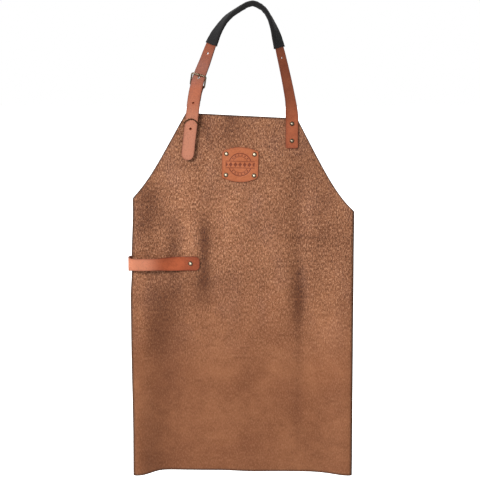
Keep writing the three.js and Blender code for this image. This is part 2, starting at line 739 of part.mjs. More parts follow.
const towelFrontY = panelFrontY(TOWEL.rivet, TOWEL.z) - GAP - TOWEL.thickness / 2;
const towelBackY = marginBackY(FOLD_LEFT, TOWEL.z) + GAP + TOWEL.thickness / 2;
const towelLeftX = FOLD_LEFT - PANEL.curlRadius - PANEL.thickness / 2 - TOWEL.overhang;
const towelOutY = panelFrontY(FOLD_LEFT, TOWEL.z) - TOWEL.bulge;
const towelLeftY = towelOutY + 1.1 * TOWEL.bulge;
const towelLine = [];
for (let i = 0; i <= 16; i++) {
  const x = THREE.MathUtils.lerp(TOWEL.end, FOLD_LEFT + 6, i / 16);
  const out = smooth(TOWEL.rivet - 8, FOLD_LEFT + 26, x);
  towelLine.push(new THREE.Vector2(x, THREE.MathUtils.lerp(towelFrontY, towelOutY, out)));
}
for (let degrees = 15; degrees <= 90; degrees += 15) {
  const [across, deep] = [Math.sin(rad(degrees)), Math.cos(rad(degrees))];
  const x = THREE.MathUtils.lerp(FOLD_LEFT + 6, towelLeftX, across);
  towelLine.push(new THREE.Vector2(x, THREE.MathUtils.lerp(towelLeftY, towelOutY, deep)));
}
for (let degrees = 15; degrees <= 90; degrees += 15) {
  const [deep, across] = [Math.sin(rad(degrees)), Math.cos(rad(degrees))];
  const x = THREE.MathUtils.lerp(FOLD_LEFT, towelLeftX, across);
  towelLine.push(new THREE.Vector2(x, THREE.MathUtils.lerp(towelLeftY, towelBackY, deep)));
}
towelLine.push(new THREE.Vector2(FOLD_LEFT + 4, towelBackY));
towelLine.push(new THREE.Vector2(FOLD_LEFT + PANEL.margin - 2, towelBackY));
const towelBand = new THREE.ExtrudeGeometry(ribbonShape(towelLine.reverse(), TOWEL.thickness), {
  depth: TOWEL.height,
  bevelEnabled: false,
});
towelBand.translate(0, 0, -TOWEL.height / 2);
bend(towelBand, (x, y, z) => {
  const standsOff = smooth(TOWEL.rivet - 12, TOWEL.rivet - 60, x);
  const atFront = smooth(towelLeftY, towelOutY + 2, y);
  const lean = rad(TOWEL.lean) * standsOff * atFront;
  return new THREE.Vector3(x, y - z * Math.sin(lean), TOWEL.z + z * Math.cos(lean));
});
add(
  "towel_loop",
  cut(towelBand, [
    drillY(TOWEL.rivet, TOWEL.z, POST_HOLE, 0, 30),
    drillY(MARGIN_X[0], TOWEL.z, POST_HOLE, towelBackY, 12),
  ]),
  MATERIALS.strap,
);
addRivet(
  "towel_front_rivet",
  TOWEL.rivet,
  TOWEL.z,
  towelFrontY - TOWEL.thickness / 2,
  drape(TOWEL.rivet, TOWEL.z) + panelBackY,
);
addRivet(
  "towel_rear_rivet",
  MARGIN_X[0],
  TOWEL.z,
  marginBackY(FOLD_LEFT, TOWEL.z) - PANEL.thickness,
  towelBackY + TOWEL.thickness / 2,
);

// ---- waist straps ----

["left", "right"].forEach((side, i) => {
  const x = MARGIN_X[i];
  const marginY = marginBackY(i ? FOLD_RIGHT : FOLD_LEFT, WAIST.z);
  const patchY = marginY + GAP + WAIST.patchThickness / 2;
  const strapY = patchY + WAIST.patchThickness / 2 + GAP + WAIST.thickness / 2;

  const patch = new THREE.BoxGeometry(PANEL.margin - 2, WAIST.patchThickness, WAIST.patch);
  patch.translate(x, patchY, WAIST.z - 3);
  add("waist_patch_" + side, cut(patch, [drillY(x, WAIST.z, POST_HOLE, patchY)]), MATERIALS.strap);
  addRivet(
    "waist_rivet_" + side,
    x,
    WAIST.z,
    marginY - PANEL.thickness,
    strapY + WAIST.thickness / 2,
  );

  if (side === "left") addBuckleSide(x, strapY);
  else addHoleSide(x, strapY);
});

// The short waist strap. It carries a buckle at its lower end.
function addBuckleSide(x, strapY) {
  const heelY = strapY - FOLD_RADIUS - PLY / 2;
  const heelZ = WAIST.z - WAIST.bucklePart;
  const rivetUp = 24;
  const above = STRAP.width / 2; // leather above the upper rivet
  const strap = foldedStrap(WAIST.bucklePart + above, BUCKLE_STRAP.returnPly);
  strap.translate(x, heelY, heelZ);
  const shoulders = [-1, 1].map((side) => {
    const square = new THREE.BoxGeometry(8, 12, 8).rotateY(Math.PI / 4);
    return square.translate(x + side * STRAP.width / 2, strapY, WAIST.z + above);
  });
  const drills = [
    drillY(x, WAIST.z, POST_HOLE, strapY, 12),
    drillY(x, heelZ + rivetUp, POST_HOLE, strapY, 30),
  ];
  add("waist_strap_left", cut(strap, [...shoulders, ...drills]), MATERIALS.strap);
  addRivet(
    "waist_fold_rivet",
    x,
    heelZ + rivetUp,
    strapY - PLY / 2 - GAP - PLY,
    strapY + PLY / 2,
  );

  const holder = new THREE.Group();
  holder.position.set(x, heelY, heelZ);
  group.add(holder);
  add("waist_buckle_frame", buckleFrame(0), MATERIALS.brass, holder);
  const rest = BUCKLE.wire + PRONG.radius + 0.3;
  const line = [[PRONG.eyeOuter - 0.8, 0.3], [9, 1.9], [BUCKLE.reach, rest], [BUCKLE.reach + 3.6, rest]];
  add("waist_buckle_prong", prong(line), MATERIALS.brass, holder);

  const { fromHeel, height, wall, room } = WAIST_KEEPER;
  const inner = [STRAP.width + 2 * GAP, PLY + 2 * GAP + room];
  const outline = new THREE.Shape(rectangle(inner[0] + 2 * wall, inner[1] + 2 * wall));
  outline.holes.push(new THREE.Path(rectangle(inner[0], inner[1]).reverse()));
  const ring = new THREE.ExtrudeGeometry(outline, { depth: height, bevelEnabled: false });
  ring.translate(x, strapY + room / 2, heelZ + fromHeel);
  add("waist_keeper", ring, MATERIALS.strap);
}

function rectangle(width, height) {
  const [w, h] = [width / 2, height / 2];
  return [[-w, -h], [w, -h], [w, h], [-w, h]].map(([x, y]) => new THREE.Vector2(x, y));
}

// The long waist strap, with a row of holes and a round tip.
function addHoleSide(x, strapY) {
  const above = STRAP.width / 2;
  const length = WAIST.holePart + above;
  const strap = flatStrap(STRAP.width, WAIST.thickness, length, length);
  strap.rotateX(Math.PI).translate(x, strapY, WAIST.z + above);
  const tipZ = WAIST.z + above - length;
  const holes = Array.from({ length: WAIST.holes }, (_, i) =>
    drillY(x, tipZ + (i + 1.5) * WAIST.holePitch, STRAP.holeRadius - 0.5, strapY),
  );
  add(
    "waist_strap_right",
    cut(strap, [...holes, drillY(x, WAIST.z, POST_HOLE, strapY, 12)]),
    MATERIALS.strap,
  );
}

export default group;
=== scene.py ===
"""A leather bib apron that hangs by its neck loop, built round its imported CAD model.

Every soft and metal piece is modelled again here, finer than its CAD solid and in the same place.
Shapes are worked out in millimetres in the row frame, with +Z up and the apron's front at -Y, and
become metres when a mesh is made.
"""

import json
import math

import bmesh
import bpy
import numpy as np
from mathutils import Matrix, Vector, noise


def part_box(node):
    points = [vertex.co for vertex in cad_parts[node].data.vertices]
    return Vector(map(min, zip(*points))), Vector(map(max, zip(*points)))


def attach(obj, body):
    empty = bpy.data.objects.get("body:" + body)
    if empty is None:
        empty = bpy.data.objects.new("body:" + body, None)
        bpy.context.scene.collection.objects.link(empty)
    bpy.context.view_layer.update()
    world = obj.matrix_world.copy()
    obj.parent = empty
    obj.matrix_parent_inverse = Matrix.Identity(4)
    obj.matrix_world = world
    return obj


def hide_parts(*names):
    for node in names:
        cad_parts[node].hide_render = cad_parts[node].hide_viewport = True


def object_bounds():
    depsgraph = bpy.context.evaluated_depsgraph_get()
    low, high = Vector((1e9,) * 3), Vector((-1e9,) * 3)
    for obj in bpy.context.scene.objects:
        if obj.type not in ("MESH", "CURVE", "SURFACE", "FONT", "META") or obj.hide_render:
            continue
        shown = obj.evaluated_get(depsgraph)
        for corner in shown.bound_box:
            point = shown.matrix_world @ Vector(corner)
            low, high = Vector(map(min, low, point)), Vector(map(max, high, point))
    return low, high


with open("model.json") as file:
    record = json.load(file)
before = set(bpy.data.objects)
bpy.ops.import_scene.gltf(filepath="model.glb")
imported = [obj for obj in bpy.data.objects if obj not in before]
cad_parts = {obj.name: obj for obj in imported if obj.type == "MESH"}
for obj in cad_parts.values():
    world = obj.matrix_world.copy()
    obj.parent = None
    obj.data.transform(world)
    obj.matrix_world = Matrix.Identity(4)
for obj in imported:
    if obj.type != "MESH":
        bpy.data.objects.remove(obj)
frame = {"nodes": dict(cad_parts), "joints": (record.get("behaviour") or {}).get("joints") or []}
CAD_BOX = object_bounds()
MM = 0.001

# ---- sizes, in millimetres, as in the CAD model ----

PANEL_THICKNESS = 2.0
CENTRE_X = -12.0
FOLD_HALF = 255.0  # from the centre to where a side margin starts to curl back
CURL_RADIUS = 8.0
MARGIN = 26.0
CURL_WIDTH = math.pi * CURL_RADIUS
FLAT_HALF = FOLD_HALF + CURL_WIDTH + MARGIN
FOLD_LEFT = CENTRE_X - FOLD_HALF
FOLD_RIGHT = CENTRE_X + FOLD_HALF
HEM = -1108.0
HEM_DROP = 7.0  # how much lower its corners hang
HEM_SAG = 4.0  # and its right half
DRAPE_DEPTH = 658.0
CORNER_INSET = 4.0
SIDE_SWELL = 3.0
SIDE_TOP = (-480.0, -500.0)  # where each armhole meets the cut side edge, left and right
# Each armhole in the flat, from the bib's corner: a cubic curve's four points.
ARMHOLES = (
    ((-133, -245), (-203, -362), (-234, -432), (-FLAT_HALF, SIDE_TOP[0])),
    ((127, -258), (200, -396), (236, -478), (FLAT_HALF, SIDE_TOP[1])),
)

STRAP_WIDTH = 30.0
STRAP_THICKNESS = 3.0
STRAP_ENDS = (5.0, 15.0)  # its corners' radii, at its start and at its round tip
PLY_ENDS = (4.0, 4.0)
HOLE_RADIUS = 2.7
PLY = 2.5
RETURN_PLY = 36.0
BUCKLE_STRAP_LENGTH = 152.0
WAIST_STRAP_LENGTH = 180.0
SLOT_HALF = (2.3, 7.0, 7.5)
FOLD_RADIUS = 2.3
GAP = 0.4
STRAP_GAP = 0.8

# The neck strap's back, from its riveted end: x, y, z and how far its face has turned outwards,
# in degrees. The centreline is half its thickness in front.
LOOP = (
    (103, -1.4, -328, 0),
    (103, -1.4, -296, 0),
    (103, -1.4, -264, 0),
    (102.6, -3.5, -251, 8),
    (101.2, -3.5, -232, 27),
    (98.8, -2.5, -214, 37),
    (89.5, -1.5, -166, 43),
    (76, -0.9, -107, 49),
    (67, -0.3, -71, 58),
    (59.5, 0.1, -47, 70),
    (48, 0.7, -22, 86),
    (33, 1.3, -3, 90),
    (8, 1.5, 7, 90),
    (-25, 0.7, -9, 86),
    (-49, 0.1, -27, 76),
    (-70, -0.7, -55, 60),
    (-84, -1.5, -84, 42),
    (-100.5, -3.9, -128, 28),
    (-113, -5.5, -160, 17),
    (-120.5, -6.5, -186, 13),
    (-125.5, -7.1, -212, 9),
    (-130, -7.8, -250, 3),
    (-132.5, -8.2, -270, 0),
    (-134.5, -8.1, -286, 0),
    (-142.5, -7.3, -355, 0),
)
HEEL_FROM_TIP = 174.0
HOLE_FROM_HEEL = 20.0
HOLE_PITCH = 60.0
RIGHT_HOLE = 213.0
SLEEVE_START = 237.0
SLEEVE_LENGTH = 266.0
SLEEVE_WIDTH = (40.0, 36.0)  # at its right and left ends
SLEEVE_DEPTH = (8.0, 14.0)  # at its ends and over the top
SLEEVE_WALL = 1.3
SLEEVE_ROUND = 88.0  # once round the flat fabric

TOWEL_Z = -601.0
TOWEL_HEIGHT = 34.0
TOWEL_THICKNESS = 3.0
TOWEL_END = -114.0
TOWEL_RIVET = -136.0
TOWEL_BULGE = 19.0
TOWEL_LEAN = math.radians(24)
TOWEL_OVERHANG = 6.0
TOWEL_CORNER = 11.0


def smooth(start, end, value):
    t = np.clip((np.asarray(value, float) - start) / (end - start), 0, 1)
    return t * t * (3 - 2 * t)


def bump(distance, width):
    return np.exp(-((np.asarray(distance, float) / width) ** 2))


def unit(v):
    return v / np.linalg.norm(v, axis=-1, keepdims=True)


def wobble(points, scale, seed=0.0):
    """Smooth noise from about -1 to 1 at an array of points, with bumps about `scale` across."""
    flat = np.asarray(points, float).reshape(-1, points.shape[-1])
    if flat.shape[1] == 2:
        flat = np.column_stack((flat, np.full(len(flat), seed)))
    values = [noise.noise(Vector(p) / scale + Vector((seed, 0, 0))) for p in flat]
    return np.array(values).reshape(points.shape[:-1])


# ---- camera, lights and floor ----

ROOM_LIGHT = 0.42  # how brightly the white room lights the apron


def look_at(obj, target):
    obj.rotation_euler = (Vector(target) - obj.location).to_track_quat("-Z", "Y").to_euler()


def add_camera():
    aim = Vector((-0.0185, 0.0, -0.545))
    distance, elevation = 3.2, math.radians(8)
    camera = bpy.data.objects.new("camera", bpy.data.cameras.new("camera"))
    camera.data.lens = 101.35
    camera.location = aim + distance * Vector((0, -math.cos(elevation), math.sin(elevation)))
    look_at(camera, aim)
    bpy.context.scene.collection.objects.link(camera)
    bpy.context.scene.camera = camera


def add_light(name, place, size, power):
    data = bpy.data.lights.new(name, "AREA")
    data.shape = "DISK"
    data.size = size
    data.energy = power
    lamp = bpy.data.objects.new(name, data)
    lamp.location = place
    look_at(lamp, (0, 0, -0.6))
    bpy.context.scene.collection.objects.link(lamp)


def add_surroundings():
    scene = bpy.context.scene
    scene.view_settings.view_transform = "Standard"
    world = bpy.data.worlds.new("studio")
    world.use_nodes = True
    tree = world.node_tree
    seen = tree.nodes.new("ShaderNodeLightPath").outputs["Is Camera Ray"]
    strength = tree.nodes.new("ShaderNodeMapRange")
    tree.links.new(seen, strength.inputs["Value"])
    strength.inputs["To Min"].default_value = ROOM_LIGHT
    strength.inputs["To Max"].default_value = 1.0
    background = tree.nodes["Background"]
    background.inputs["Color"].default_value = (1, 1, 1, 1)
    tree.links.new(strength.outputs["Result"], background.inputs["Strength"])
    scene.world = world

    mesh = bpy.data.meshes.new("floor")
    half, z = 30.0, CAD_BOX[0][2] - 0.35
    corners = [(-half, -half, z), (half, -half, z), (half, half, z), (-half, half, z)]
    mesh.from_pydata(corners, [], [(0, 1, 2, 3)])
    floor = bpy.data.objects.new("floor", mesh)
    scene.collection.objects.link(floor)
    g = Graph("floor_white")
    seen = g.node("LightPath").outputs["Is Camera Ray"]
    g.shader(Base_Color=(0.6, 0.6, 0.6, 1), Roughness=1.0, Emission_Color=(1, 1, 1, 1))
    g.shader(Emission_Strength=g.math("MULTIPLY", seen, 1.5))
    mesh.materials.append(g.material)

    add_light("key", (-1.9, -2.3, 1.0), 1.3, 105)
    add_light("fill", (2.2, -2.4, -0.4), 2.2, 10)
    add_light("rim", (0.6, 2.2, 1.2), 1.8, 25)


# ---- materials ----


class Graph:
    """Builds a material's nodes with few words."""

    def __init__(self, name):
        self.material = bpy.data.materials.new(name)
        self.material.use_nodes = True
        self.tree = self.material.node_tree
        self.bsdf = self.tree.nodes["Principled BSDF"]

    def node(self, kind, settings=None, **inputs):
        made = self.tree.nodes.new("ShaderNode" + kind)
        for key, value in (settings or {}).items():
            setattr(made, key, value)
        for key, value in inputs.items():
            self.feed(made.inputs[key.replace("_", " ")], value)
        return made

    def feed(self, socket, value):
        if isinstance(value, bpy.types.NodeSocket):
            self.tree.links.new(value, socket)
        else:
            socket.default_value = value

    def shader(self, **inputs):
        for key, value in inputs.items():
            self.feed(self.bsdf.inputs[key.replace("_", " ")], value)

    def attribute(self, name, output="Fac"):
        return self.node("Attribute", {"attribute_name": name}).outputs[output]

    def place(self, scale=(1, 1, 1)):
        """The piece's own flat coordinates, in metres times scale."""
        flat = self.attribute("flat", "Vector")
        return self.node("Mapping", Vector=flat, Scale=scale).outputs["Vector"]

    def noise(self, place, scale, detail=3.0, roughness=0.55, distortion=0.0):
        made = self.node(
            "TexNoise", Vector=place, Scale=scale, Detail=detail, Roughness=roughness,
            Distortion=distortion,
        )
        return made.outputs["Fac"]

    def cells(self, place, scale, feature="DISTANCE_TO_EDGE", **inputs):
        made = self.node("TexVoronoi", {"feature": feature}, Vector=place, Scale=scale, **inputs)
        return made.outputs["Distance"]

    def math(self, operation, a, b):
        made = self.node("Math", {"operation": operation})
        self.feed(made.inputs[0], a)
        self.feed(made.inputs[1], b)
        return made.outputs[0]

    def spread(self, value, low, high, new_low=0.0, new_high=1.0):
        made = self.node("MapRange", {"clamp": True})
        for socket, v in zip(made.inputs, (value, low, high, new_low, new_high)):
            self.feed(socket, v)
        return made.outputs[0]

    def mix(self, share, a, b, blend="MIX"):
        made = self.node("Mix", {"data_type": "RGBA", "blend_type": blend})
        self.feed(made.inputs[0], share)
        self.feed(made.inputs[6], a)
        self.feed(made.inputs[7], b)
        return made.outputs[2]

    def tint(self, colour, code, value, low, high, share=1.0, where=None):
        """Mixes in up to share of a colour as value goes from low to high, times where if given."""
        amount = self.spread(value, low, high, 0, share)
        if where is not None:
            amount = self.math("MULTIPLY", amount, where)
        return self.mix(amount, colour, rgb(code))

    def bump(self, height, strength, distance, normal=None):
        made = self.node("Bump", Height=height, Strength=strength, Distance=distance)
        if normal is not None:
            self.feed(made.inputs["Normal"], normal)
        return made.outputs["Normal"]


def rgb(code):
    """A colour from its sRGB code, in linear light."""
    parts = [int(code[i : i + 2], 16) / 255 for i in (0, 2, 4)]
    return (*[p / 12.92 if p <= 0.04045 else ((p + 0.055) / 1.055) ** 2.4 for p in parts], 1)


def panel_leather():
    """Waxy brown leather: pebbled at the top, smoother and scuffed lower down, dark at cut edges,
    with painted shade and painted light in its folds, on its grain and on its curled margins.
    """
    g = Graph("panel_leather")
    place = g.place()
    height = g.node("SeparateXYZ", Vector=place).outputs["Y"]
    upper = g.spread(height, -0.86, -0.6)

    patches = g.noise(place, 7.0, 4.0, 0.6, 0.3)
    cloud = g.noise(place, 34.0, 5.0, 0.65, 0.2)
    dull = g.noise(g.place((1.0, 0.55, 1.0)), 15.0, 3.0, 0.6)
    blots = g.noise(g.place((1.0, 0.4, 1.0)), 150.0, 4.0, 0.7)
    pebble_glints_and_specks = g.noise(g.place((1.0, 0.45, 1.0)), 360.0, 5.0, 0.8)
    furrows = g.cells(g.place((1.0, 0.7, 1.0)), 340.0)
    scratches = g.noise(g.place((6.0, 70.0, 1.0)), 3.0, 6.0, 0.75)
    grain = g.cells(place, 380.0, "SMOOTH_F1", Smoothness=0.3)
    glint_and_speck_share = g.spread(upper, 0, 1, 0.25, 1.0)

    colour = g.tint(rgb("8A5535"), "9C6542", patches, 0.38, 0.62)
    colour = g.tint(colour, "774524", cloud, 0.42, 0.68, 0.5)
    colour = g.tint(colour, "845848", dull, 0.5, 0.68, 0.45, upper)
    colour = g.tint(colour, "AF7B58", blots, 0.5, 0.64, 0.45, upper)
    colour = g.tint(colour, "6B3F25", blots, 0.5, 0.36, 0.4, upper)
    # Light specks are painted highlights on the pebbled grain; dark specks lie between them.
    colour = g.tint(colour, "CB9672", pebble_glints_and_specks, 0.51, 0.61, 1.0, glint_and_speck_share)
    colour = g.tint(colour, "50301C", pebble_glints_and_specks, 0.49, 0.38, 1.0, glint_and_speck_share)
    colour = g.tint(colour, "55311B", furrows, 0.12, 0, 1.0, g.spread(upper, 0, 1, 0.05, 0.35))
    colour = g.tint(colour, "AE7A55", scratches, 0.56, 0.74, 1.0, g.spread(upper, 0, 1, 0.3, 0.1))
    # Painted shade in the folds, painted light on their ridges and random mottling, multiplied in.
    hollow = g.spread(g.attribute("hollow"), -1.6, 1.6)
    tone = g.mix(hollow, (1.47, 1.5, 1.55, 1), (0.46, 0.35, 0.26, 1))
    colour = g.mix(1.0, colour, tone, "MULTIPLY")
    # Painted shade on the side margins where they curl back.
    colour = g.mix(g.attribute("burnish"), colour, rgb("3F2616"))
    colour = g.tint(colour, "2A180E", g.attribute("edge"), 0, 1, 0.95)
    rough = g.spread(g.math("ADD", cloud, g.math("MULTIPLY", grain, 0.3)), 0.3, 0.9, 0.46, 0.64)

    relief = g.bump(grain, g.spread(upper, 0, 1, 0.2, 0.7), 0.0014)
    relief = g.bump(g.noise(place, 420.0, 4.0, 0.65), 0.35, 0.0006, relief)
    relief = g.bump(g.noise(place, 60.0, 3.0, 0.5), 0.4, 0.003, relief)
    g.shader(Base_Color=colour, Roughness=rough, Normal=relief, Specular_IOR_Level=0.32)
    return g.material


# Each smooth leather's own colour, its worn colour, its dark colour at cut edges that also paints
# shade, and its colour of painted sheen.
TAN_LEATHERS = {
    "strap_leather": ("984D2F", "A85B3A", "562415", "BC7C62"),
    "towel_leather": ("AA522F", "BC603A", "5C2616", "DE8E6D"),
    "badge_leather": ("AC603A", "BA6C46", "662818", "C47C59"),
}


def tan_leather(name, base, worn, deep, painted_sheen):
    """Smooth reddish leather, darker at its burnished edges, with painted shade and painted sheen."""
    g = Graph(name)
    place = g.place()
    cloud = g.noise(place, 30.0, 4.0, 0.6, 0.4)
    fine = g.noise(place, 260.0, 4.0, 0.65)
    rubbed = g.attribute("rubbed")
    colour = g.tint(rgb(base), worn, cloud, 0.35, 0.7)
    # Painted sheen where the strap's attribute is above 0 and painted shade where it is below 0.
    colour = g.tint(colour, painted_sheen, rubbed, 0, 1)
    colour = g.tint(colour, deep, rubbed, 0, -1, 0.5)
    colour = g.tint(colour, worn, fine, 0.48, 0.7, 0.3)
    colour = g.tint(colour, deep, fine, 0.5, 0.32, 0.3)
    colour = g.tint(colour, deep, g.attribute("edge"), 0, 1, 0.8)
    pores = g.cells(place, 900.0, "F1")
    relief = g.bump(pores, 0.25, 0.0003)
    relief = g.bump(g.noise(place, 120.0, 5.0, 0.6), 0.3, 0.0008, relief)
    rough = g.spread(cloud, 0.3, 0.8, 0.48, 0.62)
    g.shader(Base_Color=colour, Roughness=rough, Normal=relief, Specular_IOR_Level=0.3)
    return g.material


def sleeve_fabric():
    """Black woven fabric, matte with a little fuzz."""
    g = Graph("sleeve_fabric")
    place = g.place()
    waves = []
    for direction in "XY":
        settings = {"wave_type": "BANDS", "bands_direction": direction}
        wave = g.node("TexWave", settings, Vector=place, Scale=430.0, Distortion=0.6)
        waves.append(wave.outputs["Fac"])
    weave = g.math("MULTIPLY", *waves)
    lint = g.noise(place, 600.0, 3.0, 0.7)
    colour = g.tint(rgb("171616"), "282627", weave, 0, 0.8)
    colour = g.tint(colour, "343133", lint, 0.6, 0.85, 0.4)
    relief = g.bump(weave, 0.5, 0.0005)
    relief = g.bump(lint, 0.3, 0.0005, relief)
    g.shader(Base_Color=colour, Roughness=0.92, Normal=relief, Specular_IOR_Level=0.2)
    g.shader(Sheen_Weight=0.12, Sheen_Roughness=0.5)
    return g.material


def antique_brass():
    """Darkened brass, bright where it is polished or rubbed."""
    g = Graph("antique_brass")
    place = g.node("TexCoord").outputs["Object"]
    spots = g.noise(place, 420.0, 4.0, 0.6)
    polish = g.attribute("polish")
    colour = g.tint(rgb("3E2C20"), "65492F", spots, 0.35, 0.7)
    colour = g.mix(polish, colour, rgb("FFF0D2"))
    rough = g.math("ADD", g.spread(spots, 0.3, 0.8, 0.28, 0.4), g.math("MULTIPLY", polish, 0.12))
    g.shader(Base_Color=colour, Metallic=1.0, Roughness=rough, Normal=g.bump(spots, 0.12, 0.0003))
    return g.material


# ---- meshes ----

MATERIALS = {}


def shade(mesh):
    mesh.shade_smooth()
    mesh.set_sharp_from_angle(angle=math.radians(50))


def make(name, points, faces, material, attributes, body="apron", slot=None):
    """A shown piece from points in millimetres. It rides on a body and stands for the CAD node of
    its name."""
    mesh = bpy.data.meshes.new(name)
    mesh.from_pydata((np.asarray(points, float).reshape(-1, 3) * MM).tolist(), [], faces)
    mesh.validate()
    for key, values in attributes.items():
        values = np.asarray(values, np.float32)
        kind, field = ("FLOAT_VECTOR", "vector") if values.ndim == 2 else ("FLOAT", "value")
        mesh.attributes.new(key, kind, "POINT").data.foreach_set(field, values.ravel())
    shade(mesh)
    face_outwards(mesh)
    mesh.materials.append(MATERIALS[material])
    obj = bpy.data.objects.new(name, mesh)
    bpy.context.scene.collection.objects.link(obj)
    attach(obj, body)
    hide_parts(name)
    slot or material
    return obj


def face_outwards(mesh):
    work = bmesh.new()
    work.from_mesh(mesh)
    bmesh.ops.recalc_face_normals(work, faces=work.faces)
    work.to_mesh(mesh)
    work.free()


def grid_faces(rows, columns, start=0, flip=False, wrap=False, close=False):
    """Quads of a grid of points counted row by row. wrap joins its last column to its first, and
    close its last row to its first."""
    downs, rights = np.arange(rows - (not close)), np.arange(columns - (not wrap))
    r, c = np.meshgrid(downs, rights, indexing="ij")
    below, right = (r + 1) % rows, (c + 1) % columns
    quads = [r * columns + c, r * columns + right, below * columns + right, below * columns + c]
    faces = start + np.stack([q.ravel() for q in quads], axis=1)
    return (faces[:, ::-1] if flip else faces).tolist()


def fan_faces(tip, start, count, flip=False):
    """Triangles from a tip to a ring of points."""
    ring = [(start + i, start + (i + 1) % count) for i in range(count)]
    return [(tip, j, i) if flip else (tip, i, j) for i, j in ring]


def cut(obj, cutters):
    """Takes each cutter, a (points, faces) pair, out of obj."""
    for points, faces in cutters:
        mesh = bpy.data.meshes.new("cutter")
        mesh.from_pydata((np.asarray(points) * MM).tolist(), [], faces)
        edge = mesh.attributes.new("edge", "FLOAT", "POINT")
        edge.data.foreach_set("value", np.full(len(points), 1.0, np.float32))
        tool = bpy.data.objects.new("cutter", mesh)
        bpy.context.scene.collection.objects.link(tool)
        modifier = obj.modifiers.new("cut", "BOOLEAN")
        modifier.operation = "DIFFERENCE"
        modifier.solver = "EXACT"
        modifier.object = tool
        bpy.context.view_layer.update()
        graph = bpy.context.evaluated_depsgraph_get()
        done = bpy.data.meshes.new_from_object(obj.evaluated_get(graph))
        obj.modifiers.clear()
        obj.data = done
        bpy.data.objects.remove(tool)
    shade(obj.data)


def punch(centre, axis, radius, depth=14.0, sides=28):
    """A cylinder for cutting: its points and faces."""
    axis = unit(np.asarray(axis, float))
    side = unit(np.cross(axis, (0.31, 0.2, 0.93)))
    other = np.cross(axis, side)
    cos, sin = circle(sides)
    ring = radius * (cos[:, None] * side + sin[:, None] * other)
    ends = [centre + ring - axis * depth / 2, centre + ring + axis * depth / 2]
    faces = grid_faces(2, sides, wrap=True)
    faces += [list(range(sides))[::-1], list(range(sides, 2 * sides))]
    return np.concatenate(ends), faces


def cad_box(name):
    """The low corner, high corner and middle of a CAD node's box."""
    low, high = (np.array(corner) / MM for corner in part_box(name))
    return low, high, (low + high) / 2


def circle(sides):
    angle = np.arange(sides) * 2 * math.pi / sides
    return np.cos(angle), np.sin(angle)


def distances_along(path):
    return np.concatenate([[0], np.cumsum(np.linalg.norm(np.diff(path, axis=0), axis=1))])


def follow(distance, known, values):
    """The columns of values, known at rising distances, at other distances."""
    return np.stack([np.interp(distance, known, column) for column in values.T], axis=-1)


def block(centre, half, axes=((1, 0, 0), (0, 1, 0), (0, 0, 1))):
    """A box for cutting: its points and faces."""
    signs = [(-1, -1, -1), (1, -1, -1), (1, 1, -1), (-1, 1, -1)]
    signs += [(x, y, 1) for x, y, _ in signs]
    points = centre + (np.array(signs) * half) @ np.array(axes)
    faces = [(3, 2, 1, 0), (4, 5, 6, 7), (0, 1, 5, 4), (1, 2, 6, 5), (2, 3, 7, 6), (3, 0, 4, 7)]
    return points, faces


# ---- the panel ----


def drape(x, z):
    """How far back the panel's middle surface lies, at a point in front view."""
    x, z = np.asarray(x, float), np.asarray(z, float)
    down = np.clip((-450 - z) / DRAPE_DEPTH, 0, 1)
    forward = 3 * smooth(-330, -450, z) + 21 * down**2
    sides = bump(x - FOLD_LEFT, 40) + bump(x - FOLD_RIGHT, 46)
    right = 6 * bump(x - 119, 19) * smooth(-350, -440, z) * (1 - 0.8 * smooth(-620, -900, z))
    left = 4 * bump(x + 205, 34) * smooth(-640, -800, z)
    wave = 2.5 * np.sin(x / 42) * down**2 * bump(x, 150)
    return right + left + wave - forward * sides


def sway(across, z):
    """How far the panel is drawn to the right: only near its left fold."""
    inset = CORNER_INSET * smooth(-590, -470, z)
    swell = SIDE_SWELL * (smooth(-620, -680, z) - smooth(-760, -1020, z))
    return (inset - swell) * smooth(-110, -250, across)


def hang(across, z):
    """A point of the flat panel as it hangs, with its side margins curled to the back."""
    side = np.sign(across)
    past = np.abs(across) - FOLD_HALF
    turn = np.clip(past / CURL_RADIUS, 0, math.pi)
    straight = np.clip(past - CURL_WIDTH, 0, None)
    reach = np.minimum(np.abs(across), FOLD_HALF) + CURL_RADIUS * np.sin(turn) - straight
    x = CENTRE_X + side * reach + sway(across, z)
    fold_x = CENTRE_X + np.clip(across, -FOLD_HALF, FOLD_HALF)
    y = drape(fold_x, z) + CURL_RADIUS * (1 - np.cos(turn))
    return np.stack([x, y, z], axis=-1)


def cubic(points, t):
    p = np.array(points, float)
    t = np.asarray(t, float)[..., None]
    return (1 - t) ** 3 * p[0] + 3 * (1 - t) ** 2 * t * p[1] + 3 * (1 - t) * t**2 * p[2] + t**3 * p[3]


def row_ends(side):
    """The flat end point of every row on one side: down the armhole, then down the cut edge."""
    t = np.linspace(0, 1, 2001)
    across = np.abs(cubic(ARMHOLES[side], t)[:, 0])
    fold_share = np.interp(FOLD_HALF, across, t)
    arm = np.concatenate([[0, 0.004], np.linspace(0.02, 1, 38)]) * fold_share
    corner = np.interp(np.linspace(FOLD_HALF, FLAT_HALF, 19)[1:], across, t)
    armhole = cubic(ARMHOLES[side], np.concatenate([arm, corner]))
    down = np.linspace(SIDE_TOP[side], HEM + 1.5, 125)[1:]
    heights = np.concatenate([down, [HEM]])
    edge = np.stack([np.full(len(heights), (-1, 1)[side] * FLAT_HALF), heights], axis=-1)
    return np.concatenate([armhole, edge])


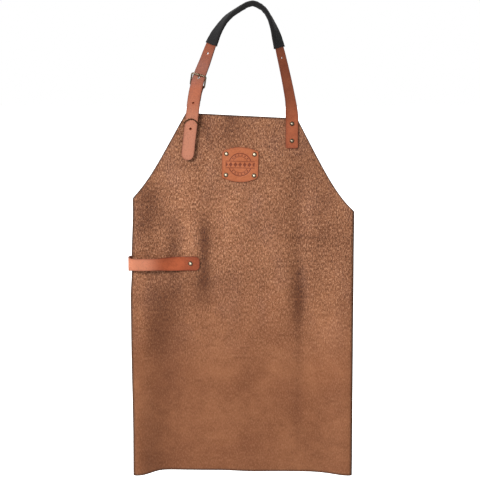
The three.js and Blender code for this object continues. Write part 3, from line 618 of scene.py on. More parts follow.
def build_panel():
    left, right = row_ends(0), row_ends(1)
    inner_share = np.linspace(0, 1, 60)
    outer_share = np.linspace(0, 1, 30)[1:]
    rows = []
    for (xl, zl), (xr, zr) in zip(left, right):
        sides = []
        for end in (-xl, xr):
            inner = min(FOLD_HALF, end - 8.0)
            outer = inner + (end - 1.5 - inner) * outer_share
            sides.append(np.concatenate([inner * inner_share, outer, [end]]))
        across = np.concatenate([-sides[0][:0:-1], sides[1]])
        height = zl + (zr - zl) * (across - xl) / (xr - xl)
        rows.append(np.stack([across, height], axis=-1))
    flat = np.array(rows)
    count = flat.shape[0]

    across = flat[..., 0]
    to_corner = smooth(-190, -247, across) + smooth(160, 252, across)
    nearly_hem = smooth(count - 60, count - 1, np.arange(count))[:, None]
    on_right = smooth(-60, 40, across) * smooth(250, 170, across)
    flat[..., 1] -= nearly_hem * (HEM_DROP * to_corner + HEM_SAG * on_right)

    centre = hang(flat[..., 0], flat[..., 1])
    normal = unit(np.cross(np.gradient(centre, axis=0), np.gradient(centre, axis=1)))
    centre = centre + normal * panel_waves(flat)[..., None]

    to_left = flat[..., 0] - left[:, None, 0]
    to_right = right[:, None, 0] - flat[..., 0]
    slope = np.abs(np.gradient(left[:, 0])) / np.maximum(np.abs(np.gradient(left[:, 1])), 1e-3)
    leaning = 1 / np.sqrt(1 + slope**2)[:, None]
    top = flat[0:1, :, 1] - flat[..., 1]
    hem = flat[..., 1] - flat[-1:, :, 1]
    near = np.minimum.reduce([to_left * leaning, to_right * leaning, top, hem])
    edge = np.exp(-((np.clip(near, 0, None) / 2.4) ** 2))
    past = np.abs(flat[..., 0]) - FOLD_HALF
    # Painted shade on the curled side margins, seen at the silhouette.
    burnish = smooth(0, 8, past) * smooth(28, 18, past)
    marks = {"edge": edge, "burnish": 0.85 * burnish, "hollow": fold_shade_and_mottle(flat)}
    close_panel(centre, normal, flat, marks)


# Painted shade along standing folds, and painted light on ridges where the first column is below 0:
# how much darker each is, its middle across, its half width and the heights where it sets in, is
# full, starts to fade and is gone.
FOLD_SHADES = (
    (0.65, -203, 46, -620, -690, -740, -860),
    (0.65, -203, 46, -620, -690, -1200, -1300),
    (0.7, -112, 30, -600, -650, -680, -730),
    (1.3, -243, 27, -400, -440, -480, -600),
    (0.9, -179, 15, -470, -510, -600, -660),
    (1.8, -103, 14, -470, -530, -600, -690),
    (0.5, 119, 15, -330, -400, -900, -1115),
    (1.1, -42, 26, 100, 0, -285, -345),
    (-0.9, -141, 15, -470, -510, -580, -620),
    (-0.5, -48, 36, -400, -470, -590, -640),
    (-0.5, -150, 60, -360, -400, -450, -500),
    (-0.6, 205, 52, -630, -690, -860, -920),
    (-0.6, -252, 14, -590, -615, -780, -900),
)
# Spots of painted shade, and of painted light where below 0: how much darker, middle across, half
# width, middle height, half height.
SHADE_SPOTS = (
    (1.3, 124, 16, -690, 75),
    (0.7, 189, 16, -447, 22),
    (0.5, -205, 38, -490, 60),
    (0.3, 160, 60, -1045, 40),
    (-0.7, 66, 38, -715, 80),
    (-0.3, 10, 60, -660, 70),
    (-0.4, -95, 50, -355, 45),
    (-0.4, 20, 40, -400, 60),
    (-0.4, 150, 50, -860, 110),
    (-0.5, 205, 30, -635, 40),
)
CREASE_Z = -537.0  # a pulled crease that falls slightly to the right
CREASE_FALL = 0.05


def crease_distance(x, z):
    return z - CREASE_Z + CREASE_FALL * (x - 117)


def fold_shade_and_mottle(flat):
    """Painted shade and light of the standing folds, with random mottling of the leather's tone: up to 1
    and more where shade is painted in a hollow, and below 0 where light is painted on a ridge or a
    stretched part."""
    x, z = flat[..., 0] + CENTRE_X, flat[..., 1]
    # Painted shade in a fold on the bib and along the crease, and painted light across the chest.
    total = 0.8 * bump(x + 100 + 0.4 * (z + 280), 13) * smooth(-340, -290, z)
    total += 0.9 * bump(crease_distance(x, z), 3.5) * smooth(60, 110, x) * smooth(200, 170, x)
    total -= 0.2 * smooth(-380, -430, z) * smooth(-640, -560, z)
    for dark, at, width, begins, full, fades, gone in FOLD_SHADES:
        total += dark * bump(x - at, width) * smooth(begins, full, z) * smooth(gone, fades, z)
    for dark, at, width, height, tall in SHADE_SPOTS:
        total += dark * bump(x - at, width) * bump(z - height, tall)
    patches = 0.45 * wobble(flat * (1, 0.6), 58.0, 11.3) + 0.3 * wobble(flat * (1, 0.5), 24.0, 5.9)
    return total + patches * (0.35 + 0.65 * smooth(-900, -640, z))


def panel_waves(flat):
    """Soft waves of the hanging leather, where nothing is riveted to it: positive goes back."""
    x, z = flat[..., 0] + CENTRE_X, flat[..., 1]
    calm = bump(flat[..., 0], 240)  # none at the rivets on the margins
    long_waves = 0.9 * wobble(flat * (1, 0.45), 70.0, 3.1) + 0.35 * wobble(flat, 30.0, 7.7)
    ridge = -3.2 * bump(x + 139, 21) * smooth(-460, -520, z) * smooth(-575, -545, z)
    valley = 3.4 * bump(x + 207, 22) * smooth(-650, -740, z)
    right = 1.8 * bump(x - 118, 10) * smooth(-350, -430, z) * (0.5 + 0.5 * bump(z + 690, 120))
    bib = -1.5 * bump(x + 78 - 0.3 * (z + 300), 9) * smooth(-300, -330, z) * smooth(-470, -400, z)
    crease = 0.7 * bump(crease_distance(x, z), 3.5) * smooth(-60, 0, x) * smooth(235, 190, x)
    clear = 1 - bump(np.hypot(x - 103, (z + 290) / 2), 22) - bump(np.hypot(x + 139, (z + 300) / 2.5), 24)
    clear = clear - bump(np.hypot(x + 18, z + 366), 60) - bump(np.hypot(x - TOWEL_RIVET, z - TOWEL_Z), 22)
    return (long_waves + ridge + valley + right + bib + crease) * np.clip(clear, 0, 1) * calm


def close_panel(centre, normal, flat, marks):
    """Makes the panel from a grid of points on its middle surface, with softly rounded edges."""
    rows, columns = centre.shape[:2]
    half = normal * PANEL_THICKNESS / 2
    ring = [(0, c) for c in range(columns)] + [(r, columns - 1) for r in range(1, rows)]
    ring += [(rows - 1, c) for c in range(columns - 2, -1, -1)]
    ring += [(r, 0) for r in range(rows - 2, 0, -1)]
    rim = []
    for r, c in ring:
        inside = (np.clip(r, 1, rows - 2), np.clip(c, 1, columns - 2))
        rim.append(centre[r, c] + 0.35 * unit(centre[r, c] - centre[inside]))
    size = rows * columns
    outline = [r * columns + c for r, c in ring]
    faces = grid_faces(rows, columns) + grid_faces(rows, columns, size, flip=True)
    for i, at in enumerate(outline):
        j = (i + 1) % len(ring)
        faces.append((outline[j], at, 2 * size + i, 2 * size + j))
        faces.append((size + at, size + outline[j], 2 * size + j, 2 * size + i))
    points = [(centre + half).reshape(-1, 3), (centre - half).reshape(-1, 3), np.array(rim)]
    marks["flat"] = np.concatenate([flat, 0 * flat[..., :1]], axis=-1) * MM
    attributes = {}
    for mark, values in marks.items():
        values = values.reshape(size, -1).squeeze()
        attributes[mark] = np.concatenate([values, values, values[outline]])
    piece = make("apron_panel", np.concatenate(points), faces, "panel_leather", attributes)
    length = float(flat[0, :, 1].max() - flat[-1, :, 1].min()) * MM
    size = (2 * FLAT_HALF * MM, length)


# ---- the neck loop's coordinates ----


def catmull_rom(points, shares):
    """Points of a centripetal Catmull-Rom curve at shares of its point count, from 0 to 1."""
    p = np.array(points, float)
    p = np.concatenate([[2 * p[0] - p[1]], p, [2 * p[-1] - p[-2]]])
    place = np.asarray(shares, float) * (len(points) - 1)
    i = np.minimum(place.astype(int), len(points) - 2)
    w = (place - i)[:, None]
    a, b, c, d = p[i], p[i + 1], p[i + 2], p[i + 3]
    step = [np.linalg.norm(v, axis=1, keepdims=True) ** 0.5 for v in (b - a, c - b, d - c)]
    t1 = ((b - a) / step[0] - (c - a) / (step[0] + step[1]) + (c - b) / step[1]) * step[1]
    t2 = ((c - b) / step[1] - (d - b) / (step[1] + step[2]) + (d - c) / step[2]) * step[1]
    return b + t1 * w + (3 * (c - b) - 2 * t1 - t2) * w**2 + (2 * (b - c) + t1 + t2) * w**3


class Loop:
    """The neck strap's own axes along its length: across, outwards from its face, and along."""

    def __init__(self):
        shares = np.linspace(0, 1, 6001)
        centreline = [(x, y - STRAP_THICKNESS / 2, z) for x, y, z, _ in LOOP]
        self.at = catmull_rom(centreline, shares)
        self.distance = distances_along(self.at)
        self.length = float(self.distance[-1])
        self.along = unit(np.gradient(self.at, axis=0))
        twist = np.radians(np.interp(shares * (len(LOOP) - 1), range(len(LOOP)), [p[3] for p in LOOP]))
        window = np.hanning(301)
        padded = np.pad(twist, 150, mode="edge")
        twist = np.convolve(padded, window / window.sum(), mode="valid")
        back = np.array([0.0, 1.0, 0.0])
        outside = unit(np.cross(back, self.along))
        face = outside * np.sin(twist)[:, None] - back * np.cos(twist)[:, None]
        face -= self.along * (face * self.along).sum(axis=1, keepdims=True)
        self.face = unit(face)
        self.across = np.cross(self.face, self.along)

    def frame(self, distance):
        distance = np.clip(distance, 0, self.length)
        parts = (self.at, self.across, self.face, self.along)
        return [follow(distance, self.distance, part) for part in parts]

    def place(self, across, outwards, distance):
        at, side, face, _ = self.frame(distance)
        return at + side * np.asarray(across)[..., None] + face * np.asarray(outwards)[..., None]


loop = Loop()
HEEL_AT = loop.length - HEEL_FROM_TIP
HEEL_DEPTH = STRAP_THICKNESS / 2 + STRAP_GAP + PLY + FOLD_RADIUS


# ---- straps ----


def strap_section(width, thickness, corner=0.7):
    """Points round a strap's cross-section, with softly rounded corners."""
    half, deep = width / 2, thickness / 2
    quarter = np.radians([90, 60, 30, 0])
    x = half - corner + corner * np.cos(quarter)
    y = deep - corner + corner * np.sin(quarter)
    face = np.array([0, half * 0.3, half * 0.6, half - 3.2, half - 1.6])
    right_top = np.column_stack([np.concatenate([face, x]), np.concatenate([face * 0 + deep, y])])
    right = np.concatenate([right_top, right_top[::-1] * (1, -1)])
    left = right[::-1][1:-1] * (-1, 1)
    return np.concatenate([right, left])


def ribbon(
    name, section, length, radii, place, rubbed=lambda d: 0 * d, step=3.0, more_stops=(),
    leather="strap_leather", body="apron",
):
    """A leather strap from distance 0 to its length, with corners of two radii at its ends.
    place(across, outwards, distance) puts it in the row frame. The function after it, of distance,
    paints light along the strap: from -1 for painted shade to 1 for painted sheen."""
    full, deep = section.max(axis=0)
    middle = np.arange(radii[0], length - radii[1], step)
    closer = 1 - np.sin(np.radians(np.linspace(0, 90, 13)))
    ends = [radii[0] * closer, length - radii[1] * closer]
    stops = np.unique(np.round(np.concatenate([*ends, middle, more_stops]), 4))

    def trimmed(past, radius):
        return radius * (1 - np.sqrt(1 - np.clip(past / radius, 0, 1) ** 2))

    start = trimmed(radii[0] - stops, radii[0])
    end = trimmed(stops - (length - radii[1]), radii[1])
    halves = np.maximum(full - start - end, 0.35)[:, None]
    x = section[:, 0] * halves / full
    y, d = np.broadcast_arrays(section[:, 1], stops[:, None])
    points = [place(*row) for row in zip(x, y, d)]
    near = np.clip(halves - np.abs(x), 0, np.minimum(d - stops[0], stops[-1] - d))
    count = len(section)
    faces = grid_faces(len(stops), count, wrap=True)
    faces.append(list(range(count))[::-1])
    faces.append([(len(stops) - 1) * count + i for i in range(count)])
    attributes = {
        "flat": np.stack([x, d, y], axis=-1).reshape(-1, 3) * MM,
        "edge": np.where(np.abs(y) < deep * 0.98, 1.0, np.exp(-near / 1.6)).ravel(),
        "rubbed": np.repeat(rubbed(stops), count),
    }
    return make(name, points, faces, leather, attributes, body, slot="strap_leather")


STRAP_SECTION = strap_section(STRAP_WIDTH, STRAP_THICKNESS)
PLY_SECTION = strap_section(STRAP_WIDTH, PLY)


def build_neck_strap():
    sleeve_end = SLEEVE_START + SLEEVE_LENGTH

    # Painted sheen on the tail below the buckle, and painted shade from the sleeve down to the buckle.
    def rubbed(d):
        shade_above_buckle = smooth(sleeve_end - 20, sleeve_end, d) * smooth(HEEL_AT + 10, HEEL_AT - 30, d)
        return smooth(HEEL_AT, HEEL_AT + 115, d) - shade_above_buckle

    strap = ribbon("neck_strap", STRAP_SECTION, loop.length, STRAP_ENDS, loop.place, rubbed)
    prong_hole = HEEL_AT - HOLE_FROM_HEEL
    places = [RIGHT_HOLE] + [prong_hole + k * HOLE_PITCH for k in (-1, 0, 1, 2)]
    cutters = []
    for distance in places:
        at, _, face, _ = loop.frame(distance)
        cutters.append(punch(at, face, HOLE_RADIUS))
    cut(strap, cutters)


def fold_path(length, sink):
    """The middle line of a strap that folds round a heel bar at the origin, as points of
    (towards the end bar, outwards), evenly spaced, with the distance along it."""
    radius = FOLD_RADIUS + PLY / 2
    closed = radius - PLY - GAP
    straight = -np.arange(length, 0, -1.0)
    front = np.column_stack([straight, radius - sink(-straight)])
    angle = np.radians(np.arange(90, -91, -7.5))
    bend = radius * np.column_stack([np.cos(angle), np.sin(angle)])
    back = np.arange(1.0, RETURN_PLY + 0.5, 1.0)
    tail = np.column_stack([-back, -radius + (closed + radius) * smooth(0, 15, back)])
    line = np.concatenate([front, bend, tail])
    return line, distances_along(line)


def folded_strap(name, length, place, sink=lambda d: 0 * d, **options):
    """A strap folded round a heel bar. place(across, outwards, away) puts it in the row frame."""
    line, distance = fold_path(length, sink)
    tangent = unit(np.gradient(line, axis=0))
    normal = np.column_stack([-tangent[:, 1], tangent[:, 0]])

    def along(x, y, d):
        at = follow(d, distance, line) + follow(d, distance, normal) * y[:, None]
        return place(x, at[:, 1], -at[:, 0])

    end = float(distance[-1])
    near_fold = np.arange(length - 12, length + 26, 0.8)
    return ribbon(name, PLY_SECTION, end, PLY_ENDS, along, more_stops=near_fold, **options)


def build_buckle_strap():
    def place(x, y, away):
        return loop.place(x, y - HEEL_DEPTH, HEEL_AT + away)

    def sink(distance):
        return 1.8 * smooth(93, 104, distance)

    strap = folded_strap("buckle_strap", BUCKLE_STRAP_LENGTH, place, sink)
    at, *axes = loop.frame(HEEL_AT + 1.5)
    cut(strap, [block(at - axes[1] * HEEL_DEPTH, SLOT_HALF, axes)])


# ---- hardware ----


def tube_mesh(path, radius, closed=True, sides=16, up=(0, 0, 1)):
    """Points and faces of a round tube along a path. Its radius may differ from point to point."""
    path = np.asarray(path, float)
    if closed:
        tangent = unit(np.roll(path, -1, axis=0) - np.roll(path, 1, axis=0))
    else:
        tangent = unit(np.gradient(path, axis=0))
    side = unit(np.cross(np.broadcast_to(up, path.shape), tangent))
    other = np.cross(tangent, side)
    cos, sin = circle(sides)
    ring = cos[:, None] * side[:, None] + sin[:, None] * other[:, None]
    points = path[:, None] + np.broadcast_to(radius, len(path))[:, None, None] * ring
    rows = len(path)
    faces = grid_faces(rows, sides, wrap=True, flip=True, close=closed)
    if not closed:
        faces.append(list(range(sides)))
        faces.append([(rows - 1) * sides + i for i in range(sides)][::-1])
    return points.reshape(-1, 3), faces


def rounded_loop(half_x, half_y, corner, count=30, bow=None):
    """A closed path round a rectangle with round corners. bow(x, y) moves it out of the plane."""
    path = []
    quarters = [(1, 1, 0), (-1, 1, 90), (-1, -1, 180), (1, -1, 270)]
    for sx, sy, start in quarters:
        angle = np.radians(start + np.linspace(0, 90, 9))
        x = sx * (half_x - corner) + corner * np.cos(angle)
        y = sy * (half_y - corner) + corner * np.sin(angle)
        path.append(np.column_stack([x, y]))
    outline = np.concatenate(path + [path[0][:1]])
    steps = distances_along(outline)
    at = np.linspace(0, steps[-1], 4 * count + 1)[:-1]
    at = np.unique(np.concatenate([at, steps[:-1]]))
    x, y = np.interp(at, steps, outline[:, 0]), np.interp(at, steps, outline[:, 1])
    z = np.zeros(len(x)) if bow is None else bow(x, y)
    return np.column_stack([x, y, z])


WIRE = 1.75
WINDOW = 31.0
REACH = 29.5
BUCKLE_CORNER = 3.6
PRONG_RADIUS = 1.2


class NeckBuckle:
    """Where the neck buckle hangs: its heel bar, its own axes and how far its end bar stands out."""

    def __init__(self):
        at, side, face, along = loop.frame(HEEL_AT)
        bar_at, bar_side, _, _ = loop.frame(HEEL_AT - REACH)
        self.out = HEEL_DEPTH + STRAP_THICKNESS / 2 + STRAP_GAP + WIRE
        self.out += (bar_at - at) @ face + abs(bar_side @ face) * STRAP_WIDTH / 2
        crossing = loop.frame(HEEL_AT - REACH / 2)[0] - at
        turn = math.atan2(crossing @ side, REACH / 2)
        self.heel = at - face * HEEL_DEPTH
        self.axes = np.array([
            side * math.cos(turn) + along * math.sin(turn),
            face,
            along * math.cos(turn) - side * math.sin(turn),
        ])

    def place(self, points):
        return self.heel + points @ self.axes


neck_buckle = NeckBuckle()
NECK_TILT = math.asin(neck_buckle.out / REACH)


def buckle_points(tilt):
    """A buckle frame, heel bar at the origin: x across, y outwards, z away from the end bar."""
    path = rounded_loop(WINDOW / 2 + WIRE, REACH / 2, BUCKLE_CORNER)
    points, faces = tube_mesh(path, WIRE + 0.2)
    points[:, 1] += REACH / 2
    x, y, z = points.T
    angle = -math.pi / 2 + tilt
    turned = [x, y * math.cos(angle) - z * math.sin(angle), y * math.sin(angle) + z * math.cos(angle)]
    return np.stack(turned, axis=-1), faces


def prong_mesh(line):
    """A prong on the heel bar: its shank along a line of (towards the end bar, outwards), and its eye."""
    shares = np.linspace(0, 1, 61)
    path = catmull_rom([(0, n, -s) for s, n in line], shares)
    blunt = np.clip((shares - 0.93) / 0.075, 0, 0.97)
    radii = PRONG_RADIUS * np.sqrt(1 - blunt**2)
    shank, faces = tube_mesh(path, radii, closed=False, up=(1, 0, 0))
    cos, sin = circle(40)
    outline = [(-1.5, 2.25), (-1.5, 3.3), (-1.2, 3.6), (1.2, 3.6), (1.5, 3.3), (1.5, 2.25)]
    ring = np.column_stack([0 * cos, sin, cos])
    rings = [ring * (0, r, r) + (x, 0, 0) for x, r in outline]
    faces += grid_faces(len(outline), 40, start=len(shank), wrap=True, close=True)
    return np.concatenate([shank, *rings]), faces


def metal(name, mesh, place, body, polish=0.12):
    points, faces = mesh
    attributes = {"polish": np.full(len(points), polish)}
    make(name, place(points), faces, "antique_brass", attributes, body)


def build_neck_buckle():
    metal("neck_buckle_frame", buckle_points(NECK_TILT), neck_buckle.place, "neck_buckle")
    end = REACH * math.cos(NECK_TILT)
    over = neck_buckle.out + WIRE + PRONG_RADIUS + 0.3
    line = [
        (2.8, 0.3),
        (HOLE_FROM_HEEL - 8, 1.6),
        (HOLE_FROM_HEEL - 0.6, HEEL_DEPTH - 3),
        (HOLE_FROM_HEEL + 0.7, HEEL_DEPTH + 1.6),
        (end - 3.5, neck_buckle.out + 1.3),
        (end, over),
        (end + 3.8, over + 0.2),
    ]
    metal("neck_buckle_prong", prong_mesh(line), neck_buckle.place, "neck_prong")


def build_keeper():
    wire, rise, from_heel = 1.4, 11.0, 88.0
    back = -(STRAP_THICKNESS / 2 + STRAP_GAP + PLY + GAP + wire)
    front = STRAP_THICKNESS / 2 + GAP + wire
    half = STRAP_WIDTH / 2 + GAP + wire
    at, *axes = loop.frame(HEEL_AT + from_heel)
    middle = at + axes[1] * (front + back) / 2

    def bow(x, y):
        return -rise * np.clip(y / ((front - back) / 2), 0, 1) * (1 - (x / half) ** 2)

    path = rounded_loop(half, (front - back) / 2, 1.2, count=40, bow=bow)
    mesh = tube_mesh(path, wire, up=(0, 0.35, 1))

    metal("strap_keeper", mesh, lambda points: middle + points @ axes, "neck_keeper", 0.0)


# A rivet head from its middle to its rim: share of the radius, share of the dome, and polish.
RIVET_PROFILE = (
    (0, 1, 1),
    (0.2, 0.985, 1),
    (0.36, 0.9, 1),
    (0.48, 0.74, 0.9),
    (0.56, 0.54, 0.5),
    (0.6, 0.36, 0),
    (0.68, 0.34, 0),
    (0.8, 0.5, 0.1),
    (0.9, 0.44, 0.1),
    (0.98, 0.24, 0),
    (1, 0, 0),
    (0.34, 0, 0),
)


def build_rivet(name, shine, body):
    """A rivet's cap with its post, and its back cap, where their CAD nodes are."""
    for part, facing in (("_cap", -1), ("_back", 1)):
        low, high, (x, _, z) = cad_box(name + part)
        radius = (high[0] - low[0]) / 2
        outer, inner = (low[1], high[1]) if facing < 0 else (high[1], low[1])
        dome = 1.4 if facing < 0 and name.startswith("buckle_strap") else 2.2
        dome = min(dome, abs(outer - inner))
        seat = outer - facing * dome
        line = [(r * radius, seat + facing * h * dome) for r, h, _ in RIVET_PROFILE]
        line += [(0.32 * radius, inner), (0, inner)] if facing < 0 else [(0, seat)]
        polish = [shine * p for _, _, p in RIVET_PROFILE] + [0] * (len(line) - len(RIVET_PROFILE))
        sides = 40
        cos, sin = circle(sides)
        around = np.column_stack([cos, 0 * cos, sin])
        rings = [around * r + (x, y, z) for r, y in line[1:-1]]
        points = np.concatenate([[(x, line[0][1], z)], *rings, [(x, line[-1][1], z)]])
        shares = np.concatenate([polish[:1], np.repeat(polish[1:-1], sides), polish[-1:]])
        faces = [[i + 1 for i in face] for face in grid_faces(len(rings), sides, wrap=True)]
        last = len(points) - 1
        faces += fan_faces(0, 1, sides) + fan_faces(last, last - sides, sides, flip=True)
        make(name + part, points, faces, "antique_brass", {"polish": shares}, body)


# ---- sleeve, badge, towel loop ----


def build_sleeve():
    """A soft tube round the top of the loop: flat and wide at its ends, gathered over the top."""
    rows, sides = 210, 72
    share = np.linspace(0, 1, rows)[:, None]
    cos, sin = circle(sides)
    middle = np.sin(math.pi * share) ** 2
    width = SLEEVE_WIDTH[0] + (SLEEVE_WIDTH[1] - SLEEVE_WIDTH[0]) * share
    deep = SLEEVE_DEPTH[0] + (SLEEVE_DEPTH[1] - SLEEVE_DEPTH[0]) * middle

    def squared(v):
        return np.sign(v) * np.abs(v) ** 0.58

    x = width / 2 * squared(cos)
    y = deep / 2 * squared(sin)
    along = share * SLEEVE_LENGTH + 0 * cos
    spot = np.stack([14 * cos + 0 * share, 14 * sin + 0 * share, along], axis=-1)
    folds = 1.5 * wobble(spot * (0.8, 0.8, 1.5), 12.0, 1.3) + 0.7 * wobble(spot * (1, 1, 1.6), 6.0, 4.4)
    size = np.maximum(np.hypot(x, y), 3.0)
    grow = 1 + (folds * (0.25 + 0.75 * middle) - 0.4 * middle) / size
    shrink = 1 - SLEEVE_WALL / size
    ragged = 1.4 * wobble(spot, 9.0, 9.1) * (smooth(0.06, 0, share) + smooth(0.94, 1, share))
    distance = SLEEVE_START + along + ragged
    outer = loop.place(x * grow, y * grow, distance)
    inner = loop.place(x * grow * shrink, y * grow * shrink, distance)
    points = np.concatenate([outer, inner[::-1]])
    faces = grid_faces(2 * rows, sides, wrap=True, close=True)
    around = np.arange(sides) * SLEEVE_ROUND / sides + 0 * share
    flat = np.stack([around, along, 0 * along], axis=-1) * MM
    attributes = {"flat": np.concatenate([flat, flat[::-1]]).reshape(-1, 3)}
    piece = make("neck_sleeve", points, faces, "sleeve_fabric", attributes)
    size = (SLEEVE_ROUND * MM, SLEEVE_LENGTH * MM)


def badge_outline():
    """Angle and radius of points round the badge's edge."""
    w, h, arch, corner = 43.0, 33.0, 8.0, 6.0

    def curve(a, b, c, count):
        t = np.linspace(0, 1, count)[:, None]
        return (1 - t) ** 2 * np.array(a) + 2 * (1 - t) * t * np.array(b) + t**2 * np.array(c)

    top = curve((-w + corner, h + 0.1 * corner), (0, h + 2 * arch), (w - corner, h + 0.1 * corner), 60)
    right = curve((w - corner, h + 0.1 * corner), (w, h), (w, h - corner), 12)
    side = curve((w, h - corner), (w, 0), (w, -h + corner), 30)
    half = np.concatenate([top, right, side])
    full = np.concatenate([half, -half])
    angle = np.arctan2(full[:, 1], full[:, 0])
    order = np.argsort(angle)
    return angle[order], np.linalg.norm(full, axis=1)[order]


def build_badge():
    """A leather patch with an embossed motif of rings and rays, without lettering."""
    low, high, (centre_x, _, centre_z) = cad_box("badge")
    turn = math.radians(-1.2)
    rings, sides = 84, 288
    angle = np.linspace(-math.pi, math.pi, sides, endpoint=False)
    known_angle, known_radius = badge_outline()
    limit = np.interp(angle, known_angle, known_radius, period=2 * math.pi)
    share = np.concatenate([np.linspace(0.012, 0.97, rings - 5), [0.98, 0.988, 0.994, 0.998, 1.0]])
    u = share[:, None] * limit * np.cos(angle)
    v = share[:, None] * limit * np.sin(angle)
    inside = (1 - share[:, None]) * limit
    height = emboss(u, v) - 0.6 * np.exp(-inside / 0.5) - 0.35 * bump(inside - 3.4, 0.45)
    x = centre_x + u * math.cos(turn) - v * math.sin(turn)
    z = centre_z + u * math.sin(turn) + v * math.cos(turn)
    front = np.stack([x, low[1] - height, z], axis=-1).reshape(-1, 3)
    back = np.stack([x[-1], np.full(sides, high[1]), z[-1]], axis=-1)
    middles = [(centre_x, low[1], centre_z), (centre_x, high[1], centre_z)]
    points = np.concatenate([front, back, middles])
    size = rings * sides
    faces = grid_faces(rings + 1, sides, wrap=True)
    faces += fan_faces(size + sides, 0, sides, flip=True) + fan_faces(size + sides + 1, size, sides)
    flat = np.stack([u, v, 0 * u], axis=-1).reshape(-1, 3)
    edge = np.exp(-inside / 1.2).ravel()
    ink = np.clip(-emboss(u, v) / 0.5, 0, 1).ravel()
    attributes = {
        "flat": np.concatenate([flat, flat[-sides:], [(0, 0, 0)] * 2]) * MM,
        "edge": np.concatenate([np.maximum(edge, ink), np.ones(sides), [0, 0]]),
    }
    make("badge", points, faces, "badge_leather", attributes)


def emboss(u, v):
    """Height of the badge's motif: pressed rings, a band across them with lozenges, and rays."""
    r = np.hypot(u, v)
    a = np.arctan2(v, u)
    rings = smooth(1.3, 0.9, np.abs(r - 26.5)) + bump(r - 19, 0.7)
    band = smooth(9.5, 8.5, np.abs(v)) * smooth(37, 35.5, np.abs(u))
    rays = smooth(0.1, 0.5, np.cos(18 * a)) * smooth(20.5, 21.5, r) * smooth(24.5, 23.5, r)
    lozenges = smooth(0.4, -0.4, np.abs(np.mod(u + 5.5, 11) - 5.5) + 0.75 * np.abs(v) - 4.4)
    lines = bump(np.abs(v) - 7.8, 0.8)
    pressed = np.maximum(rings, rays) * (1 - band)
    in_band = np.maximum(lozenges, lines) * smooth(34.5, 33.5, np.abs(u)) * band
    return -0.55 * np.clip(np.maximum(pressed, in_band), 0, 1)


def build_towel_loop():
    front_y = drape(TOWEL_RIVET, TOWEL_Z) - PANEL_THICKNESS / 2 - GAP - TOWEL_THICKNESS / 2
    fold_y = drape(FOLD_LEFT, TOWEL_Z)
    back_y = fold_y + 2 * CURL_RADIUS + PANEL_THICKNESS / 2 + GAP + TOWEL_THICKNESS / 2
    left_x = FOLD_LEFT - CURL_RADIUS - PANEL_THICKNESS / 2 - TOWEL_OVERHANG
    out_y = fold_y - PANEL_THICKNESS / 2 - TOWEL_BULGE
    side_y = out_y + 1.1 * TOWEL_BULGE
    x = np.linspace(TOWEL_END, FOLD_LEFT + 6, 60)
    y = front_y + (out_y - front_y) * smooth(TOWEL_RIVET - 8, FOLD_LEFT + 26, x)
    quarter = np.radians(np.arange(5, 91, 5))
    first = np.column_stack([
        FOLD_LEFT + 6 + (left_x - FOLD_LEFT - 6) * np.sin(quarter),
        side_y + (out_y - side_y) * np.cos(quarter),
    ])
    second = np.column_stack([
        FOLD_LEFT + (left_x - FOLD_LEFT) * np.cos(quarter),
        side_y + (back_y - side_y) * np.sin(quarter),
    ])
    tail_x = np.linspace(FOLD_LEFT, FOLD_LEFT + MARGIN - 2, 12)[1:]
    tail = np.column_stack([tail_x, np.full(len(tail_x), back_y)])
    line = np.concatenate([np.column_stack([x, y]), first, second, tail])
    distance = distances_along(line)
    tangent = unit(np.gradient(line, axis=0))
    normal = np.column_stack([tangent[:, 1], -tangent[:, 0]])

    def place(across, outwards, d):
        at = follow(d, distance, line) - follow(d, distance, normal) * outwards[:, None]
        at_x, at_y = at.T
        stands_off = smooth(TOWEL_RIVET - 12, TOWEL_RIVET - 60, at_x)
        lean = TOWEL_LEAN * stands_off * smooth(side_y, out_y + 2, at_y)
        return np.stack([at_x, at_y - across * np.sin(lean), TOWEL_Z + across * np.cos(lean)], axis=-1)

    # Painted sheen where the band leans out to the left into the light, painted shade at its right end.
    def rubbed(d):
        return 0.95 * smooth(85, 135, d) - 0.9 * smooth(55, 20, d)

    end = float(distance[-1])
    section = strap_section(TOWEL_HEIGHT, TOWEL_THICKNESS)
    radii = (TOWEL_CORNER, 4.0)
    ribbon("towel_loop", section, end, radii, place, rubbed, step=2.0, leather="towel_leather")


# ---- waist straps ----


def upright(start, face=1, up=1):
    """A place function: y points away from a strap's first point, forwards if face is -1, and the
    strap runs down from it if up is -1."""
    return lambda x, y, d: np.stack([start[0] + x, start[1] + face * y, start[2] + up * d], axis=-1)


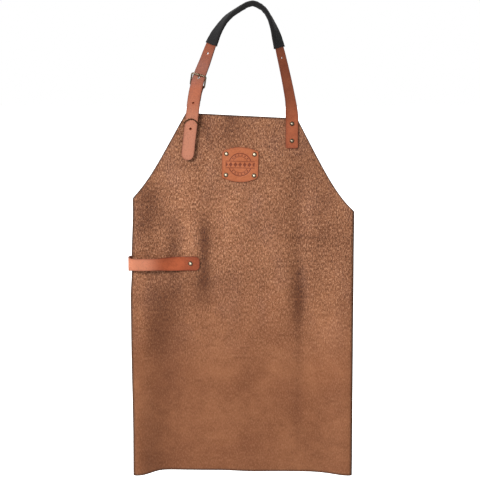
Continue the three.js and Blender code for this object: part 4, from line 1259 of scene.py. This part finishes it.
def build_waist_straps():
    for name in ("waist_patch_left", "waist_patch_right"):
        low, high, centre = cad_box(name)
        width, thickness, height = high - low
        place = upright((centre[0], centre[1], low[2]), face=-1)
        ribbon(name, strap_section(width, thickness), height, PLY_ENDS, place)

    low, high, centre = cad_box("waist_strap_right")
    right = ribbon(
        "waist_strap_right",
        PLY_SECTION,
        high[2] - low[2],
        STRAP_ENDS,
        upright((centre[0], centre[1], high[2]), up=-1),
        step=4.0,
        body="right_waist_strap",
    )
    holes = [np.array([centre[0], centre[1], low[2] + (i + 1.5) * 30.0]) for i in range(7)]
    cut(right, [punch(hole, (0, 1, 0), 2.5) for hole in holes])

    hinge = next(joint for joint in frame["joints"] if joint["name"] == "waist_buckle_hinge")
    heel = np.array(hinge["pos_m"]) / MM

    def at_heel(points):
        return heel + points

    left = folded_strap(
        "waist_strap_left", WAIST_STRAP_LENGTH, upright(heel), body="left_waist_strap"
    )
    cut(left, [block(heel + (0, 0, 2.5), (2.4, 7.0, 8.5))])
    metal("waist_buckle_frame", buckle_points(0.0), at_heel, "waist_buckle")
    rest = WIRE + PRONG_RADIUS + 0.3
    line = [(2.8, 0.3), (9, 1.9), (REACH, rest), (REACH + 3.6, rest)]
    metal("waist_buckle_prong", prong_mesh(line), at_heel, "waist_prong")


def build_waist_keeper():
    """A leather loop: its outline is the CAD node's box, with round corners."""
    low, high, centre = cad_box("waist_keeper")
    half = (high - low) / 2
    wall = 1.6
    path = rounded_loop(half[0] - wall / 2, half[1] - wall / 2, 1.6)
    tangent = unit(np.roll(path, -1, axis=0) - np.roll(path, 1, axis=0))
    normal = np.column_stack([tangent[:, 1], -tangent[:, 0], np.zeros(len(path))])
    section = strap_section(2 * half[2], wall, 0.4)
    points = path[:, None] + normal[:, None] * section[None, :, 1:] + [0, 0, 1] * section[None, :, :1]
    rows, count = points.shape[:2]
    steps = np.cumsum(np.linalg.norm(np.roll(path, -1, axis=0) - path, axis=1))
    across, along = np.broadcast_arrays(section[None, :, 0], steps[:, None])
    edge = np.tile(np.abs(section[:, 1]) < wall * 0.49, rows)
    flat = np.stack([across, along, 0 * along], axis=-1).reshape(-1, 3) * MM
    make(
        "waist_keeper", points + centre, grid_faces(rows, count, wrap=True, close=True),
        "strap_leather", {"flat": flat, "edge": edge}, "left_strap_keeper",
    )


# ---- everything ----

MATERIALS["panel_leather"] = panel_leather()
for leather, colours in TAN_LEATHERS.items():
    MATERIALS[leather] = tan_leather(leather, *colours)
MATERIALS["sleeve_fabric"] = sleeve_fabric()
MATERIALS["antique_brass"] = antique_brass()

add_camera()
add_surroundings()
build_panel()
build_neck_strap()
build_buckle_strap()
build_neck_buckle()
build_keeper()
build_sleeve()
build_badge()
build_towel_loop()
build_waist_straps()
build_waist_keeper()
for rivet in sorted(n[:-4] for n in frame["nodes"] if n.endswith("_cap")):
    bright = 0.45 if rivet.startswith("neck_strap") else 1.0
    build_rivet(rivet, bright, "left_waist_strap" if rivet == "waist_fold_rivet" else "apron")
